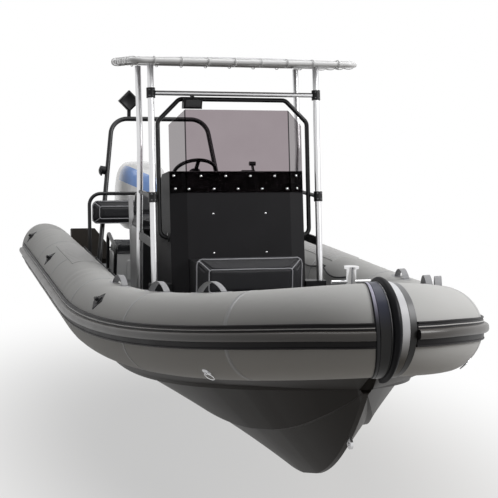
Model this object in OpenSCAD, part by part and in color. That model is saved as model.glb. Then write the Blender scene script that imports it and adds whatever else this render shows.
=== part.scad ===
// Rigid inflatable boat with a centre console, a laced T-top, a stern arch and an outboard engine.
// +X is the bow, +Y is port, +Z is up; the origin is on the waterline amidships. Millimetres.

/* [Hull] */
// Depth of the keel below the waterline
keel_depth = 500; // [440:5:560]
// Where the keel starts to rise towards the stem
forefoot_x = 1200; // [900:10:1500]
// Where the chines and the keel meet on the stem
stem_x = 3110; // [3000:10:3150]
// Height of that meeting point above the waterline
stem_z = 300; // [240:5:340]
// How late the forefoot sweeps up, as a power
forefoot_curve = 3.65; // [3:0.05:4.5]
// Half breadth over the chines amidships
chine_half = 960; // [900:5:990]
// Depth of the chine amidships below the waterline
chine_drop = 50; // [20:5:90]
// Width of the flat under the chine
chine_flat = 80; // [50:5:100]
// Width of each lifting strake's flat
lift_flat = 34; // [20:1:50]
// Half width of the keel's flat
keel_half = 15; // [10:1:25]
// Height of the deck above the waterline
deck_z = 160; // [140:1:175]
// Thickness of the deck panel
deck_t = 10; // [6:1:15]
// Height of the bow locker's top
locker_z = 400; // [340:5:410]

/* [Tubes] */
// Radius of the inflated tubes
tube_r = 250; // [235:1:255]
// Distance from the centreline to a tube's middle
half_beam = 1081; // [1060:1:1110]
// Height of the tubes' middle over their straight run
tube_z = 351; // [340:1:370]
// Where the tubes start to turn in towards the bow
bow_x = 376; // [300:1:450]
// Length of the bow's turn
bow_len = 2912; // [2860:1:2960]
// Rise of the tubes' middle at the bow
bow_rise = 341; // [310:1:370]
// Where the straight run ends and the stern cones start
cone_x = -2800; // [-2900:10:-2700]
// Gap between a tube and what is bonded to it
seat_gap = 0.9; // [0.6:0.1:1.5]
// Thickness of the rub strake's base
strake_t = 12; // [8:1:16]
// Height of the strake's rib over the tube
rib_h = 36; // [26:1:44]
// Thickness of the bow band
band_t = 8; // [5:1:12]
// Height of the bow band's rib over the band
band_rib = 22; // [12:1:30]

/* [Transom] */
// Where the transom's aft face crosses the waterline
transom_x = -3300; // [-3350:5:-3260]
// Lean of the transom from upright, in degrees
transom_rake = 12; // [8:0.5:14]
// Thickness of the transom
transom_t = 70; // [50:1:80]
// Height of the transom under the engine
transom_z = 215; // [190:5:240]
// Height of the transom's quarters
quarter_z = 500; // [440:5:560]
// Half width of the engine's cut-out
cutout_half = 330; // [280:5:380]

/* [Console] */
// Where the console's front meets the deck
console_x = 482; // [450:1:510]
// Length of the console along the deck
console_l = 720; // [660:5:760]
// Half width of the console's flat front
front_half = 400; // [370:5:420]
// Half width over the console's sides
console_half = 520; // [500:1:535]
// Height of the console's top above the waterline
console_top = 1332; // [1315:1:1345]
// Lean of the console's front and of the screen, in degrees
console_rake = 9.5; // [7:0.5:11]
// Angle of the console's corners and of the screen's wings, in degrees
wing_angle = 25; // [20:1:30]
// Thickness of the windscreen
screen_t = 6; // [4:0.5:8]
// Height of the screen's lower edge
screen_low = 1178; // [1150:1:1200]
// Height of the screen's upper edge
screen_top = 1790; // [1740:5:1840]
// Diameter of the steering wheel
wheel_d = 360; // [320:5:380]

/* [Seats] */
// Half width of the front seat
seat_half = 415; // [390:5:430]
// Height of the front seat's backrest
seat_back_z = 742; // [710:1:770]
// Height of the front seat's locker
seat_box_z = 290; // [260:5:310]
// Thickness of the seat cushions
cushion_t = 90; // [70:5:100]
// Half width of the helm seat
helm_half = 560; // [520:5:580]
// Height of the helm seat's base
helm_z = 780; // [740:5:820]
// Half width of the rear bench
bench_half = 600; // [560:5:610]
// Height of the rear bench's base
bench_z = 450; // [420:5:480]
// Half width of the rear backrest's frame
back_half = 770; // [740:5:790]

/* [Top] */
// Diameter of the top's legs
leg_d = 48; // [42:1:54]
// Distance of the legs from the centreline
leg_y = 645; // [630:1:670]
// Where a front leg stands at its foot
leg_front_x = 336; // [310:1:360]
// Where a rear leg stands
leg_rear_x = -290; // [-320:1:-270]
// Height of the front legs' feet
leg_foot_z = 505; // [480:5:540]
// Height of the roof frame's middle
roof_z = 2140; // [2100:5:2200]
// Front edge of the roof
roof_front = 540; // [500:5:580]
// Rear edge of the roof
roof_rear = -474; // [-520:2:-440]
// Half width of the roof
roof_half = 862; // [820:2:900]
// Diameter of the roof's tubes
roof_d = 40; // [34:1:46]
// Height of the crossbar between the front legs
bar_z = 1909; // [1880:1:1940]

/* [Arch] */
// Diameter of the stern arch's tube
arch_d = 45; // [38:1:52]
// Height of the arch
arch_z = 1665; // [1620:5:1720]
// Where the arch stands on the deck
arch_x = -2300; // [-2330:5:-2260]
// Distance of the arch's feet from the centreline
arch_foot_y = 680; // [660:5:700]

/* [Engine] */
// Length of the cowl
cowl_l = 690; // [640:5:720]
// Half width of the cowl
cowl_half = 265; // [240:1:275]
// Height of the cowl's top
cowl_top = 1164; // [1120:2:1190]
// Height of the joint between the cowl and its pan
cowl_low = 640; // [610:5:670]
// Distance of the steering axis behind the transom's top
steer_back = 150; // [140:1:170]
// Diameter of the propeller
prop_d = 360; // [330:2:380]

/* [Hidden] */
$fn = 48;
bow_curve_x = 1.02;
bow_curve_y = 1.132;
facets = 24;
facet_a = 360 / facets;
strake_mid = 4.5;
touch = 0.3;

// Bow stations as angles round the turn, with those where the strakes, the hull, the band and its rib end
BOW_T = [0, 8, 16, 24, 32, 39, 46, 52, 58, 63, 68, 72, 76, 80, 84.6, 85, 87.7, 88.8, 90];
locker_t = 46;
strake_end_t = 84.6;
band_t0 = 85;
hull_end_t = 87.7;
rib_t0 = 88.8;
// From this angle on, the tube's rings fan out from one point so that they don't cross inside the nose
fan_t = 76;
nose_gap = 0.2;
// Stern cone: distance aft of the straight run, radius
CONE = [[745, 45], [705, 95], [610, 150], [450, 205], [250, 240]];
STRAIGHT = [cone_x, -1800, -800];

function unit(v) = v / norm(v);
function mix(a, b, f) = a + (b - a) * f;
function flip(p) = [p.x, -p.y, p.z];
function backwards(l) = [for (i = [len(l) - 1:-1:0]) l[i]];

// A station is [centre, direction, radius, bow angle]
function bow_point(t) =
    let (s = pow(sin(t), bow_curve_x), c = pow(max(cos(t), 0), bow_curve_y))
    [bow_x + bow_len * s, half_beam * c + nose_gap, tube_z + bow_rise * s * s];
function curve_way(t) = unit(bow_point(t + 0.2) - bow_point(t - 0.2));
fan_way = curve_way(fan_t);
fan_x = bow_point(fan_t).x + bow_point(fan_t).y * fan_way.y / fan_way.x;
function bow_way(t) =
    t <= 0 ? [1, 0, 0] : t <= fan_t ? curve_way(t)
    : let (n = unit([bow_point(t).x - fan_x, bow_point(t).y - nose_gap, 0]))
        unit([n.y, -n.x, curve_way(t).z]);
function bow_station(t) = [bow_point(t), bow_way(t), tube_r, t];
function straight_station(x, r = tube_r) = [[x, half_beam, tube_z + (tube_r - r) / 2], [1, 0, 0], r, -1];
function side_of(w) = unit([-w.y, w.x, 0]);
function at(st, a, r) =
    let (n = side_of(st[1]), u = cross(st[1], n)) st[0] + r * (cos(a) * n + sin(a) * u);

cone_stations = [for (c = CONE) straight_station(cone_x - c[0], c[1])];
run_stations = [for (x = STRAIGHT) straight_station(x)];
bow_stations = [for (t = BOW_T) bow_station(t)];
tube_stations = concat(cone_stations, run_stations, bow_stations);

// Surface through a row of closed loops, each loop anticlockwise seen from the last one's end
function quad(p, a, b, c, d) =
    norm(p[a] - p[c]) <= norm(p[b] - p[d]) ? [[a, b, c], [a, c, d]] : [[a, b, d], [b, c, d]];
// End of a loft: one flat face, or a strip of faces across a loop that goes out and back along two arcs
function cap(n, strip) =
    strip ? [for (j = [0:n / 2 - 2]) [j, j + 1, n - 2 - j, n - 1 - j]] : [[for (j = [0:n - 1]) j]];
module loft(loops, strip = false) {
    n = len(loops[0]);
    m = len(loops);
    points = [for (l = loops) each l];
    skin = [for (i = [0:m - 2], j = [0:n - 1])
        each quad(points, i * n + j, (i + 1) * n + j, (i + 1) * n + (j + 1) % n, i * n + (j + 1) % n)];
    first = cap(n, strip);
    last = [for (f = first) [for (j = backwards(f)) (m - 1) * n + j]];
    polyhedron(points, concat(skin, first, last));
}

// Round tube swept along a path; plane is the normal of the plane that the path lies in
function path_way(p, i) =
    i == 0 ? unit(p[1] - p[0])
    : i == len(p) - 1 ? unit(p[i] - p[i - 1])
    : unit(unit(p[i + 1] - p[i]) + unit(p[i] - p[i - 1]));
function path_loop(c, w, plane, r, n) =
    let (e = unit(cross(plane, w)), g = cross(w, e))
    [for (k = [0:n - 1]) c + r * (cos(360 * k / n) * e + sin(360 * k / n) * g)];
module pipe(path, d, plane, n = 12) {
    loft([for (i = [0:len(path) - 1]) path_loop(path[i], path_way(path, i), plane, d / 2, n)]);
}
// The same with both ends cut level, as feet that stand on the deck
function level_loop(loop, w, z) = [for (p = loop) p + w * (z - p.z) / w.z];
module standing_pipe(path, d, plane, n = 12) {
    e = len(path) - 1;
    loft([for (i = [0:e]) let (w = path_way(path, i), loop = path_loop(path[i], w, plane, d / 2, n))
        i == 0 || i == e ? level_loop(loop, w, path[i].z) : loop]);
}
// Path with each inner corner turned on a radius
function corner(a, b, c, r, n) =
    let (u = unit(a - b), v = unit(c - b), h = acos(u * v) / 2, o = b + unit(u + v) * r / sin(h),
         d = (b + u * r / tan(h) - o) / r, e = (b + v * r / tan(h) - o) / r, w = acos(d * e))
    [for (k = [0:n]) o + r * (sin(w * (1 - k / n)) * d + sin(w * k / n) * e) / sin(w)];
function rounded(p, r, n = 5) =
    [p[0], for (i = [1:len(p) - 2]) each corner(p[i - 1], p[i], p[i + 1], r, n), p[len(p) - 1]];
module both_sides() {
    children();
    mirror([0, 1, 0]) children();
}
// Straight round bar between two points
module bar(a, b, d) {
    v = b - a;
    translate(a) rotate([0, acos(v.z / norm(v)), atan2(v.y, v.x)]) cylinder(d = d, h = norm(v));
}
// Straight bar with level ends
module level_bar(a, b, d) {
    w = unit(b - a) * d;
    intersection() {
        bar(a - w, b + w, d);
        translate([min(a.x, b.x) - d, min(a.y, b.y) - d, a.z])
            cube([abs(b.x - a.x) + 2 * d, abs(b.y - a.y) + 2 * d, b.z - a.z]);
    }
}
// Block given by its two corners
module block(a, b) { translate(a) cube(b - a); }
// Profile in X and Z, drawn across the boat from y0 to y1
module across(y0, y1, points) {
    translate([0, y1, 0]) rotate([90, 0, 0]) linear_extrude(y1 - y0) polygon(points);
}

// Hull lines
function keel_z(x) =
    let (w = max(0, (x - forefoot_x) / (stem_x - forefoot_x)))
    (keel_depth + stem_z) * pow(w, forefoot_curve) - keel_depth;
chine_curve_y = 3.2;
chine_curve_z = 1.8;
chine_share = 0.52;
flat_k = 0.08;
function chine_u(x) = min(1, max(0, x) / stem_x);
stem_half = keel_half + 24;
stem_step = 25;
function chine_y(x) = max(stem_half, chine_half * (1 - pow(chine_u(x), chine_curve_y)));
function chine_z(x) = (stem_z + stem_step + chine_drop) * pow(chine_u(x), chine_curve_z) - chine_drop;

// Transom's faces, leaning aft with height
function transom_aft(z) = transom_x - z * tan(transom_rake);
function transom_front(z) = transom_aft(z) + transom_t / cos(transom_rake);

// Hull section on the port side, from the deck's edge down to the keel
seat_angles = [for (k = [10:-1:7]) strake_mid - facet_a * k];
last_x = bow_point(hull_end_t).x;
function lines_x(x) = x <= bow_x ? x : bow_x + (x - bow_x) * (stem_x - bow_x) / (last_x - bow_x);
seat_rim = 2;
function hull_top(st, seat) = st[3] >= locker_t ? min(locker_z, seat.z - seat_rim) : deck_z - deck_t;
function half_section(st) =
    let (x = lines_x(st[0].x), yc = chine_y(x), zc = chine_z(x), zk = keel_z(x),
         flat = chine_flat * min(1, yc / (6 * chine_flat)), yi = yc - flat,
         ys = keel_half + (yi - keel_half) * chine_share,
         zs = mix(zk, zc, (ys - keel_half) / (yi - keel_half)),
         out = min(lift_flat, (yi - ys) / 3),
         seat = [for (a = seat_angles) at(st, a, tube_r + seat_gap)])
    concat([[seat[0].x, seat[0].y, hull_top(st, seat[0])]], seat,
        [[x, yc, zc + flat / 4], [x, yc, zc], [x, yi, zc - flat * flat_k],
         [x, ys + out, zs + out * flat_k], [x, ys, zs], [x, keel_half, zk]]);
// The stern section leans with the transom
function lean(p) = [transom_front(p.z) + touch, p.y, p.z];
function whole(half) = concat([for (p = half) flip(p)], backwards(half));
hull_halves = concat([[for (p = half_section(straight_station(cone_x))) lean(p)]],
    [for (st = concat(run_stations, [for (s = bow_stations) if (s[3] <= hull_end_t) s])) half_section(st)]);

module hull_shell() {
    color([0.16, 0.16, 0.16]) {
        loops = [for (h = hull_halves) whole(h)];
        n = len(loops[0]);
        m = len(loops);
        points = [for (l = loops) each l];
        skin = [for (i = [0:m - 2], j = [0:n - 1])
            each quad(points, i * n + j, (i + 1) * n + j, (i + 1) * n + (j + 1) % n, i * n + (j + 1) % n)];
        b = (m - 1) * n;
        stem = [for (j = [0:n / 2 - 2]) each quad(points, b + n - 1 - j, b + n - 2 - j, b + j + 1, b + j)];
        polyhedron(points, concat([[for (j = [0:n - 1]) j]], skin, stem));
    }
}

deck_edge = 20;
deck_stations = [for (s = concat(run_stations, bow_stations)) if (s[3] < locker_t) s];
function deck_corner(st) = at(st, seat_angles[0], tube_r + seat_gap) - [touch, deck_edge, 0];
module deck() {
    stern = transom_front(deck_z) + deck_edge;
    side = concat([[stern, deck_corner(run_stations[0]).y]],
        [for (s = deck_stations) [deck_corner(s).x, deck_corner(s).y]]);
    color([0.45, 0.46, 0.47]) translate([0, 0, deck_z - deck_t]) linear_extrude(deck_t)
        polygon(concat([for (p = side) [p.x, -p.y]], backwards(side)));
}

// In the transom's own plane, height measured along the board
function board(z) = z / cos(transom_rake);
// X and Z of a point given by its depth from the board's aft face and its height along the board
function from_board(n, h) =
    [transom_x + n * cos(transom_rake) - h * sin(transom_rake),
     n * sin(transom_rake) + h * cos(transom_rake)];
quarter_y = 800;
quarter_in = 560;
board_side = 30;
module on_transom() { translate([transom_x, 0, 0]) rotate([0, -transom_rake, 0]) children(); }
module transom() {
    half = [[keel_half, board(board_side - keel_depth)], [chine_half - board_side, board(-chine_drop)],
            [chine_half - board_side, board(deck_z / 2)], [quarter_y, board(deck_z)],
            [quarter_y, board(quarter_z)],
            [quarter_in, board(quarter_z)], [cutout_half, board(transom_z)]];
    color([0.2, 0.2, 0.21]) on_transom() rotate([90, 0, 90]) linear_extrude(transom_t)
        polygon(concat(half, [for (p = backwards(half)) [-p.x, p.y]]));
}

module tube() {
    loft([for (s = tube_stations) [for (k = [0:facets - 1]) at(s, strake_mid + facet_a * k, s[2])]]);
}
module tube_port() { color([0.62, 0.62, 0.62]) tube(); }
module tube_starboard() { color([0.62, 0.62, 0.62]) mirror([0, 1, 0]) tube(); }

// Rub strake profile: angle from its middle, height over the seat
rib_foot_a = 6;
rib_top_a = 4;
strake_rows = [[-facet_a, strake_t], [-rib_foot_a, strake_t], [-rib_top_a, rib_h], [rib_top_a, rib_h],
    [rib_foot_a, strake_t], [facet_a, strake_t], [facet_a, 0], [0, 0], [-facet_a, 0]];
module rub_strakes() {
    run = [for (s = concat(run_stations, bow_stations)) if (s[3] <= strake_end_t) s];
    color([0.13, 0.13, 0.14]) both_sides()
        loft([for (s = run) [for (r = strake_rows) at(s, strake_mid + r[0], tube_r + seat_gap + r[1])]]);
}

// Band round the bow: arcs over the tube from under the nose to its inner side
band_first = -6;
band_last = 12;
function band_loop(s, r0, r1) =
    concat([for (k = [band_first:band_last]) at(s, strake_mid + facet_a * k, r1)],
           [for (k = [band_last:-1:band_first]) at(s, strake_mid + facet_a * k, r0)]);
function over_bow(t0, r0, r1) =
    let (half = [for (s = bow_stations) if (s[3] >= t0) band_loop(s, r0, r1)], n = len(half))
    concat(half, [for (i = [n - 2:-1:0]) [for (p = half[i]) flip(p)]]);
band_r = tube_r + seat_gap + band_t;
module bow_band() {
    color([0.1, 0.1, 0.13]) loft(over_bow(band_t0, tube_r + seat_gap, band_r), true);
}
module bow_rib() {
    color([0.05, 0.05, 0.06]) loft(over_bow(rib_t0, band_r + touch, band_r + band_rib), true);
}

// Webbing handles along the tubes' tops: first and last bow angle
HANDLES = [[12, 17], [28, 33.2], [43, 49.4]];
handle_w = 42;
handle_t = 5;
handle_h = 62;
handle_steps = 12;
handle_sink = 0.2;
handle_arc = 0.8;
top_a = strake_mid + 6 * facet_a;
function handle_point(h, f) =
    let (s = bow_station(mix(h[0], h[1], f)))
    at(s, top_a, tube_r + handle_t / 2 - handle_sink + handle_h * pow(sin(180 * f), handle_arc));
module handle(h) {
    path = [for (i = [0:handle_steps]) handle_point(h, i / handle_steps)];
    side = side_of(bow_way(mix(h[0], h[1], 0.5)));
    loft([for (i = [0:handle_steps])
        let (w = path_way(path, i), n = unit(cross(w, side)),
             a = side * handle_w / 2, b = n * handle_t / 2)
        [path[i] + a - b, path[i] + a + b, path[i] - a + b, path[i] - a - b]]);
}
module tube_handles() { color([0.12, 0.12, 0.13]) both_sides() for (h = HANDLES) handle(h); }

// Flat spot on a tube's facet: station number, share along it, facet's middle angle
function facet_frame(i, f, a) =
    let (s = tube_stations[i], e = tube_stations[i + 1],
         p = mix(at(s, a - facet_a / 2, s[2]), at(e, a - facet_a / 2, e[2]), f),
         q = mix(at(s, a + facet_a / 2, s[2]), at(e, a + facet_a / 2, e[2]), f),
         y = unit(q - p), z = unit(cross(y, e[0] - s[0])), x = cross(y, z), o = (p + q) / 2 + touch * z)
    [[x.x, y.x, z.x, o.x], [x.y, y.y, z.y, o.y], [x.z, y.z, z.z, o.z], [0, 0, 0, 1]];

// Lifeline: rope in swags along the inner side of each tube, on small pads
LINE_X = [-1700, -1000, -300, 340];
line_d = 14;
line_a = strake_mid + 9 * facet_a;
line_pad = 5;
line_pad_l = 60;
line_steps = 8;
line_droop = 11;
line_plane = [0, 0.4, 1];
function line_point(x, f) =
    at(straight_station(x), line_a + line_droop * sin(180 * f), tube_r + line_pad + 2 * touch + line_d / 2);
module lifelines() {
    rope = concat([for (i = [0:len(LINE_X) - 2], k = [0:line_steps - 1])
        line_point(mix(LINE_X[i], LINE_X[i + 1], k / line_steps), k / line_steps)],
        [line_point(LINE_X[len(LINE_X) - 1], 0)]);
    color([0.08, 0.08, 0.08]) both_sides() {
        pipe(rope, line_d, line_plane, 8);
        for (x = LINE_X) {
            s = straight_station(x);
            translate(at(s, line_a, tube_r + touch)) rotate([line_a - 90, 0, 0])
                translate([-line_pad_l / 2, -line_pad_l / 4, 0]) cube([line_pad_l, line_pad_l / 2, line_pad]);
        }
    }
}

// Rubber cleats on the tubes' shoulders: station number, share along it
CLEATS = [[5, 0.15], [6, 0.72], [10, 0.3]];
cleat_a = strake_mid + 2.5 * facet_a;
cleat_l = 78;
cleat_w = 54;
cleat_h = 12;
cleat_boss = 26;
cleat_neck = 18;
cleat_bar = 10;
module tube_cleats() {
    color([0.09, 0.09, 0.09]) both_sides() for (c = CLEATS) multmatrix(facet_frame(c[0], c[1], cleat_a)) {
        translate([-cleat_l / 2, -cleat_w / 2, 0]) cube([cleat_l, cleat_w, cleat_h]);
        cylinder(d = cleat_boss, h = cleat_h + cleat_neck);
        translate([-cleat_boss, -cleat_boss / 4, cleat_h + cleat_bar])
            cube([2 * cleat_boss, cleat_boss / 2, cleat_bar]);
    }
}

// Pale step pads laid over the tubes' tops
pad_x0 = -1350;
pad_x1 = -250;
pad_t = 5;
pad_first = 4;
pad_last = 8;
function pad_loop(x) =
    let (s = straight_station(x))
    concat([for (k = [pad_first:pad_last]) at(s, strake_mid + facet_a * k, tube_r + touch + pad_t)],
           [for (k = [pad_last:-1:pad_first]) at(s, strake_mid + facet_a * k, tube_r + touch)]);
module step_pads() {
    color([0.78, 0.77, 0.74]) both_sides() loft([pad_loop(pad_x0), pad_loop(pad_x1)], true);
}

// Towing rings on the bow: patch, lug and ring
ring_station = 14;
ring_share = 0.65;
ring_a = strake_mid - 3.5 * facet_a;
ring_d = 62;
ring_wire = 7;
ring_patch = 60;
ring_patch_t = 5;
ring_lift = 12;
module tow_rings() {
    color([0.75, 0.75, 0.76]) both_sides() multmatrix(facet_frame(ring_station, ring_share, ring_a)) {
        cylinder(d = ring_patch, h = ring_patch_t);
        translate([0, 0, ring_patch_t - 3]) cylinder(d = 3 * ring_wire, h = 2 * ring_wire);
        translate([0, -ring_d / 2, ring_lift])
            rotate_extrude() translate([ring_d / 2, 0]) circle(d = ring_wire, $fn = 24);
    }
}

// Bow post on the locker's top
post_back = 468;
post_x = bow_x + bow_len - post_back;
post_d = 58;
post_top = 955;
post_cap = 86;
post_pin_z = 880;
post_pin_d = 20;
post_pin_l = 232;
post_foot = 2.4;
post_foot_t = 10;
post_cap_t = 13;
module bow_post() {
    color([0.82, 0.82, 0.83]) translate([post_x, 0, locker_z]) {
        cylinder(d = post_foot * post_d, h = post_foot_t);
        cylinder(d = post_d, h = post_top - locker_z);
        translate([0, 0, post_top - locker_z]) cylinder(d = post_cap, h = post_cap_t);
        translate([0, 0, post_pin_z - locker_z]) rotate([90, 0, 0])
            cylinder(d = post_pin_d, h = post_pin_l, center = true);
    }
}

// Eyes for towing and lifting: one on the stem, two on the transom
eye_bore = 24;
eye_d = 60;
eye_t = 16;
stem_eye_t = [63, 68];
eye_out = 34;
stern_eye_y = 560;
stern_eye_z = -90;
function keel_point(t) = let (h = half_section(bow_station(t))) h[len(h) - 1];
module eye_lug() {
    difference() {
        union() {
            translate([touch, -eye_t / 2, -eye_d / 2]) cube([eye_out, eye_t, eye_d]);
            translate([eye_out, 0, 0]) rotate([90, 0, 0]) cylinder(d = eye_d, h = eye_t, center = true);
        }
        translate([eye_out, 0, 0]) rotate([90, 0, 0]) cylinder(d = eye_bore, h = 2 * eye_t, center = true);
    }
}
module towing_eyes() {
    a = keel_point(stem_eye_t[0]);
    b = keel_point(stem_eye_t[1]);
    slope = atan2(b.z - a.z, b.x - a.x);
    color([0.6, 0.6, 0.61]) {
        translate([(a.x + b.x) / 2, 0, (a.z + b.z) / 2]) rotate([0, 90 - slope, 0]) eye_lug();
        on_transom() for (s = [-1, 1])
            translate([0, s * stern_eye_y, board(stern_eye_z)]) rotate([0, 0, 180]) eye_lug();
    }
}

// Console: side profile cut by the raked corner planes
rake_k = tan(console_rake);
function front_x(z) = console_x - (z - deck_z) * rake_k;
console_back = console_x - console_l;
lip = 60;
dash_z = 1290;
dash_x = -40;
dash_drop = 160;
// Footwell cut into the console's back: depth, margin at its sides and under it, drop from the dash
well_depth = 260;
well_side = 90;
well_sill = 60;
well_drop = 330;
module rake_frame(z) { translate([front_x(z), 0, z]) rotate([0, -console_rake, 0]) children(); }
module corner_cut() {
    both_sides() rake_frame(deck_z) translate([0, front_half, -deck_z]) rotate([0, 0, wing_angle])
        translate([0, -console_half / 2, -deck_z]) cube([console_half, 2 * console_half, 2 * console_top]);
}
module console() {
    color([0.11, 0.11, 0.12]) difference() {
        across(-console_half, console_half, [[front_x(deck_z), deck_z], [front_x(console_top), console_top],
            [front_x(console_top) - lip, console_top], [dash_x, dash_z],
            [console_back, dash_z - dash_drop], [console_back, deck_z]]);
        corner_cut();
        block([console_back - 1, -console_half + well_side, deck_z + well_sill],
            [console_back + well_depth, console_half - well_side, dash_z - well_drop]);
    }
}

// Windscreen: flat sheet with two folded wings, leaning with the console
wing_l = 128;
wing_drop = 120;
screen_h = (screen_top - screen_low) / cos(console_rake);
module windscreen() {
    n0 = touch;
    n1 = touch + screen_t;
    w = [for (n = [n0, n1]) [n, front_half + n * tan(wing_angle / 2)]];
    tip = [for (p = w) p + wing_l * [-sin(wing_angle), cos(wing_angle)]];
    half = [w[0], tip[0], tip[1], w[1]];
    color([0.45, 0.4, 0.42, 0.6]) rake_frame(screen_low) difference() {
        linear_extrude(screen_h)
            polygon(concat(half, backwards([for (q = half) [q.x, -q.y]])));
        both_sides() translate([-wing_l, front_half, screen_h])
            rotate([-atan(wing_drop / wing_l), 0, 0]) cube(2 * wing_l);
    }
}

// Hoop round the screen, standing on the console's sides
hoop_d = 34;
hoop_x = 104;
hoop_z = 1866;
hoop_half = 416;
hoop_bend_y = 586;
hoop_bend_z = 1698;
hoop_foot_z = 835;
hoop_bend = 60;
leg_k = 0.1464;
function hoop_at(y, z) = [hoop_x - (z - hoop_bend_z) * leg_k, y, z];
module console_hoop() {
    foot = console_half + touch;
    half = [hoop_at(foot, hoop_foot_z), hoop_at(hoop_bend_y, hoop_foot_z),
        hoop_at(hoop_bend_y, hoop_bend_z), hoop_at(hoop_half, hoop_z)];
    color([0.07, 0.07, 0.07]) pipe(rounded(whole(half), hoop_bend), hoop_d, unit([1, 0, leg_k]));
}

// Front seat: locker with an upright back, a seat cushion and a bevelled back pad
back_x = 640;
seat_front_x = 1130;
pad_depth = 60;
pad_corner = 55;
bevel = 100;
bevel_k = 0.8;
pad_gap = 12;
box_in = 20;
box_drop = 50;
cushion_back = 40;
cushion_lap = 15;
module front_seat_box() {
    top = seat_back_z - box_drop;
    color([0.13, 0.13, 0.14]) across(-seat_half + box_in, seat_half - box_in,
        [[console_x + touch, deck_z], [seat_front_x, deck_z], [seat_front_x, seat_box_z],
         [back_x, seat_box_z], [back_x, top], [front_x(top) + touch, top]]);
}
module front_cushion() {
    color([0.09, 0.09, 0.1]) block([back_x + pad_depth + cushion_back, -seat_half, seat_box_z + touch],
        [seat_front_x + cushion_lap, seat_half, seat_box_z + cushion_t]);
}
// Pad with sloped borders, facing forward from x, between z0 and z1
module bevelled_pad(x, half, z0, z1, depth, border) {
    hull() {
        for (y = [-1, 1], z = [z0 + pad_corner, z1 - pad_corner])
            translate([x, y * (half - pad_corner), z]) rotate([0, 90, 0])
                cylinder(r = pad_corner, h = depth / 2, $fn = 24);
        block([x + depth - 1, -half + border, z0 + border * bevel_k],
            [x + depth, half - border, z1 - border * bevel_k]);
    }
}
module front_backrest() {
    low = seat_box_z + cushion_t + pad_gap;
    color([0.09, 0.09, 0.1]) bevelled_pad(back_x + touch, seat_half, low, seat_back_z, pad_depth, bevel);
}

// Helm: wheel on its shaft, and the throttle box
helm_y = -230;
dash_k = atan2(dash_drop, dash_x - console_back);
wheel_u = 110;
wheel_rim = 28;
wheel_off = 95;
shaft_d = 26;
wheel_hub = 90;
wheel_hub_t = 26;
spoke_w = 28;
spoke_t = 10;
spoke_in = 30;
spoke_out = 22;
// Frame on the sloped dash, its Z square to the panel
module dash_frame(u) {
    translate([dash_x - u * cos(dash_k), helm_y, dash_z - u * sin(dash_k)])
        rotate([0, -dash_k, 0]) children();
}
module helm_wheel() {
    color([0.1, 0.1, 0.1]) dash_frame(wheel_u) {
        translate([0, 0, wheel_off])
            rotate_extrude() translate([wheel_d / 2 - wheel_rim / 2, 0]) circle(d = wheel_rim, $fn = 24);
        translate([0, 0, touch]) cylinder(d = shaft_d, h = wheel_off);
        translate([0, 0, wheel_off - wheel_hub_t + spoke_t]) cylinder(d = wheel_hub, h = wheel_hub_t);
        for (k = [0:2]) rotate([0, 0, 120 * k]) translate([spoke_in, -spoke_w / 2, wheel_off - spoke_t + 2])
            cube([wheel_d / 2 - wheel_rim - spoke_out, spoke_w, spoke_t]);
    }
}
module throttle() {
    color([0.14, 0.14, 0.15]) dash_frame(wheel_u) translate([0, -helm_y + 180, touch]) {
        translate([-80, -55, 0]) cube([160, 110, 60]);
        translate([0, 55, 35]) rotate([-90, 0, 0]) cylinder(d = 60, h = 22);
        translate([-14, 60, 35]) cube([28, 14, 150]);
        translate([0, 45, 180]) rotate([-90, 0, 0]) cylinder(d = 34, h = 50);
    }
}

// Helm seat: base with side cheeks, cushion and bolster
helm_x0 = -1180;
helm_x1 = -760;
helm_back_z = 1050;
cheek_t = 36;
base_in = 40;
seat_rake = 60;
cushion_nose = 20;
module helm_seat_base() {
    in = helm_half - cheek_t - touch;
    color([0.7, 0.7, 0.71]) both_sides() across(helm_half - cheek_t, helm_half,
        [[helm_x0 + base_in, deck_z], [helm_x1 - base_in, deck_z], [helm_x1 - base_in, helm_z - 80],
         [helm_x1, helm_z], [helm_x0 - seat_rake, helm_z], [helm_x0 - 110, helm_back_z - 30],
         [helm_x0 - 150, helm_back_z - 30], [helm_x0 - seat_rake, helm_z - 120]]);
    color([0.13, 0.13, 0.14]) block([helm_x0 + base_in, -in, deck_z], [helm_x1 - base_in, in, helm_z]);
}
module helm_cushion() {
    color([0.09, 0.09, 0.1]) block([helm_x0 - base_in, -helm_half, helm_z + touch],
        [helm_x1 + cushion_nose, helm_half, helm_z + cushion_t]);
}
bolster_h = 170;
module helm_backrest() {
    in = helm_half - cheek_t - touch;
    low = helm_z + cushion_t + pad_gap;
    color([0.2, 0.2, 0.21]) across(-in, in, [[helm_x0 - seat_rake, low], [helm_x0 - 100, low + bolster_h],
        [helm_x0 - 170, low + bolster_h], [helm_x0 - 130, low]]);
}

// Side grab frames beside the helm seat
grab_d = 30;
grab_y = 720;
grab_x = [-1420, -1000];
grab_z = [700, 600];
grab_bend = 60;
grab_rake = 60;
module grab_frames() {
    route = [[grab_x[0], grab_y, deck_z], [grab_x[0], grab_y, grab_z[0]],
        [grab_x[1], grab_y, grab_z[1]], [grab_x[1] - grab_rake, grab_y, deck_z]];
    color([0.08, 0.08, 0.08]) both_sides() standing_pipe(rounded(route, grab_bend), grab_d, [0, 1, 0]);
}

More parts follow.
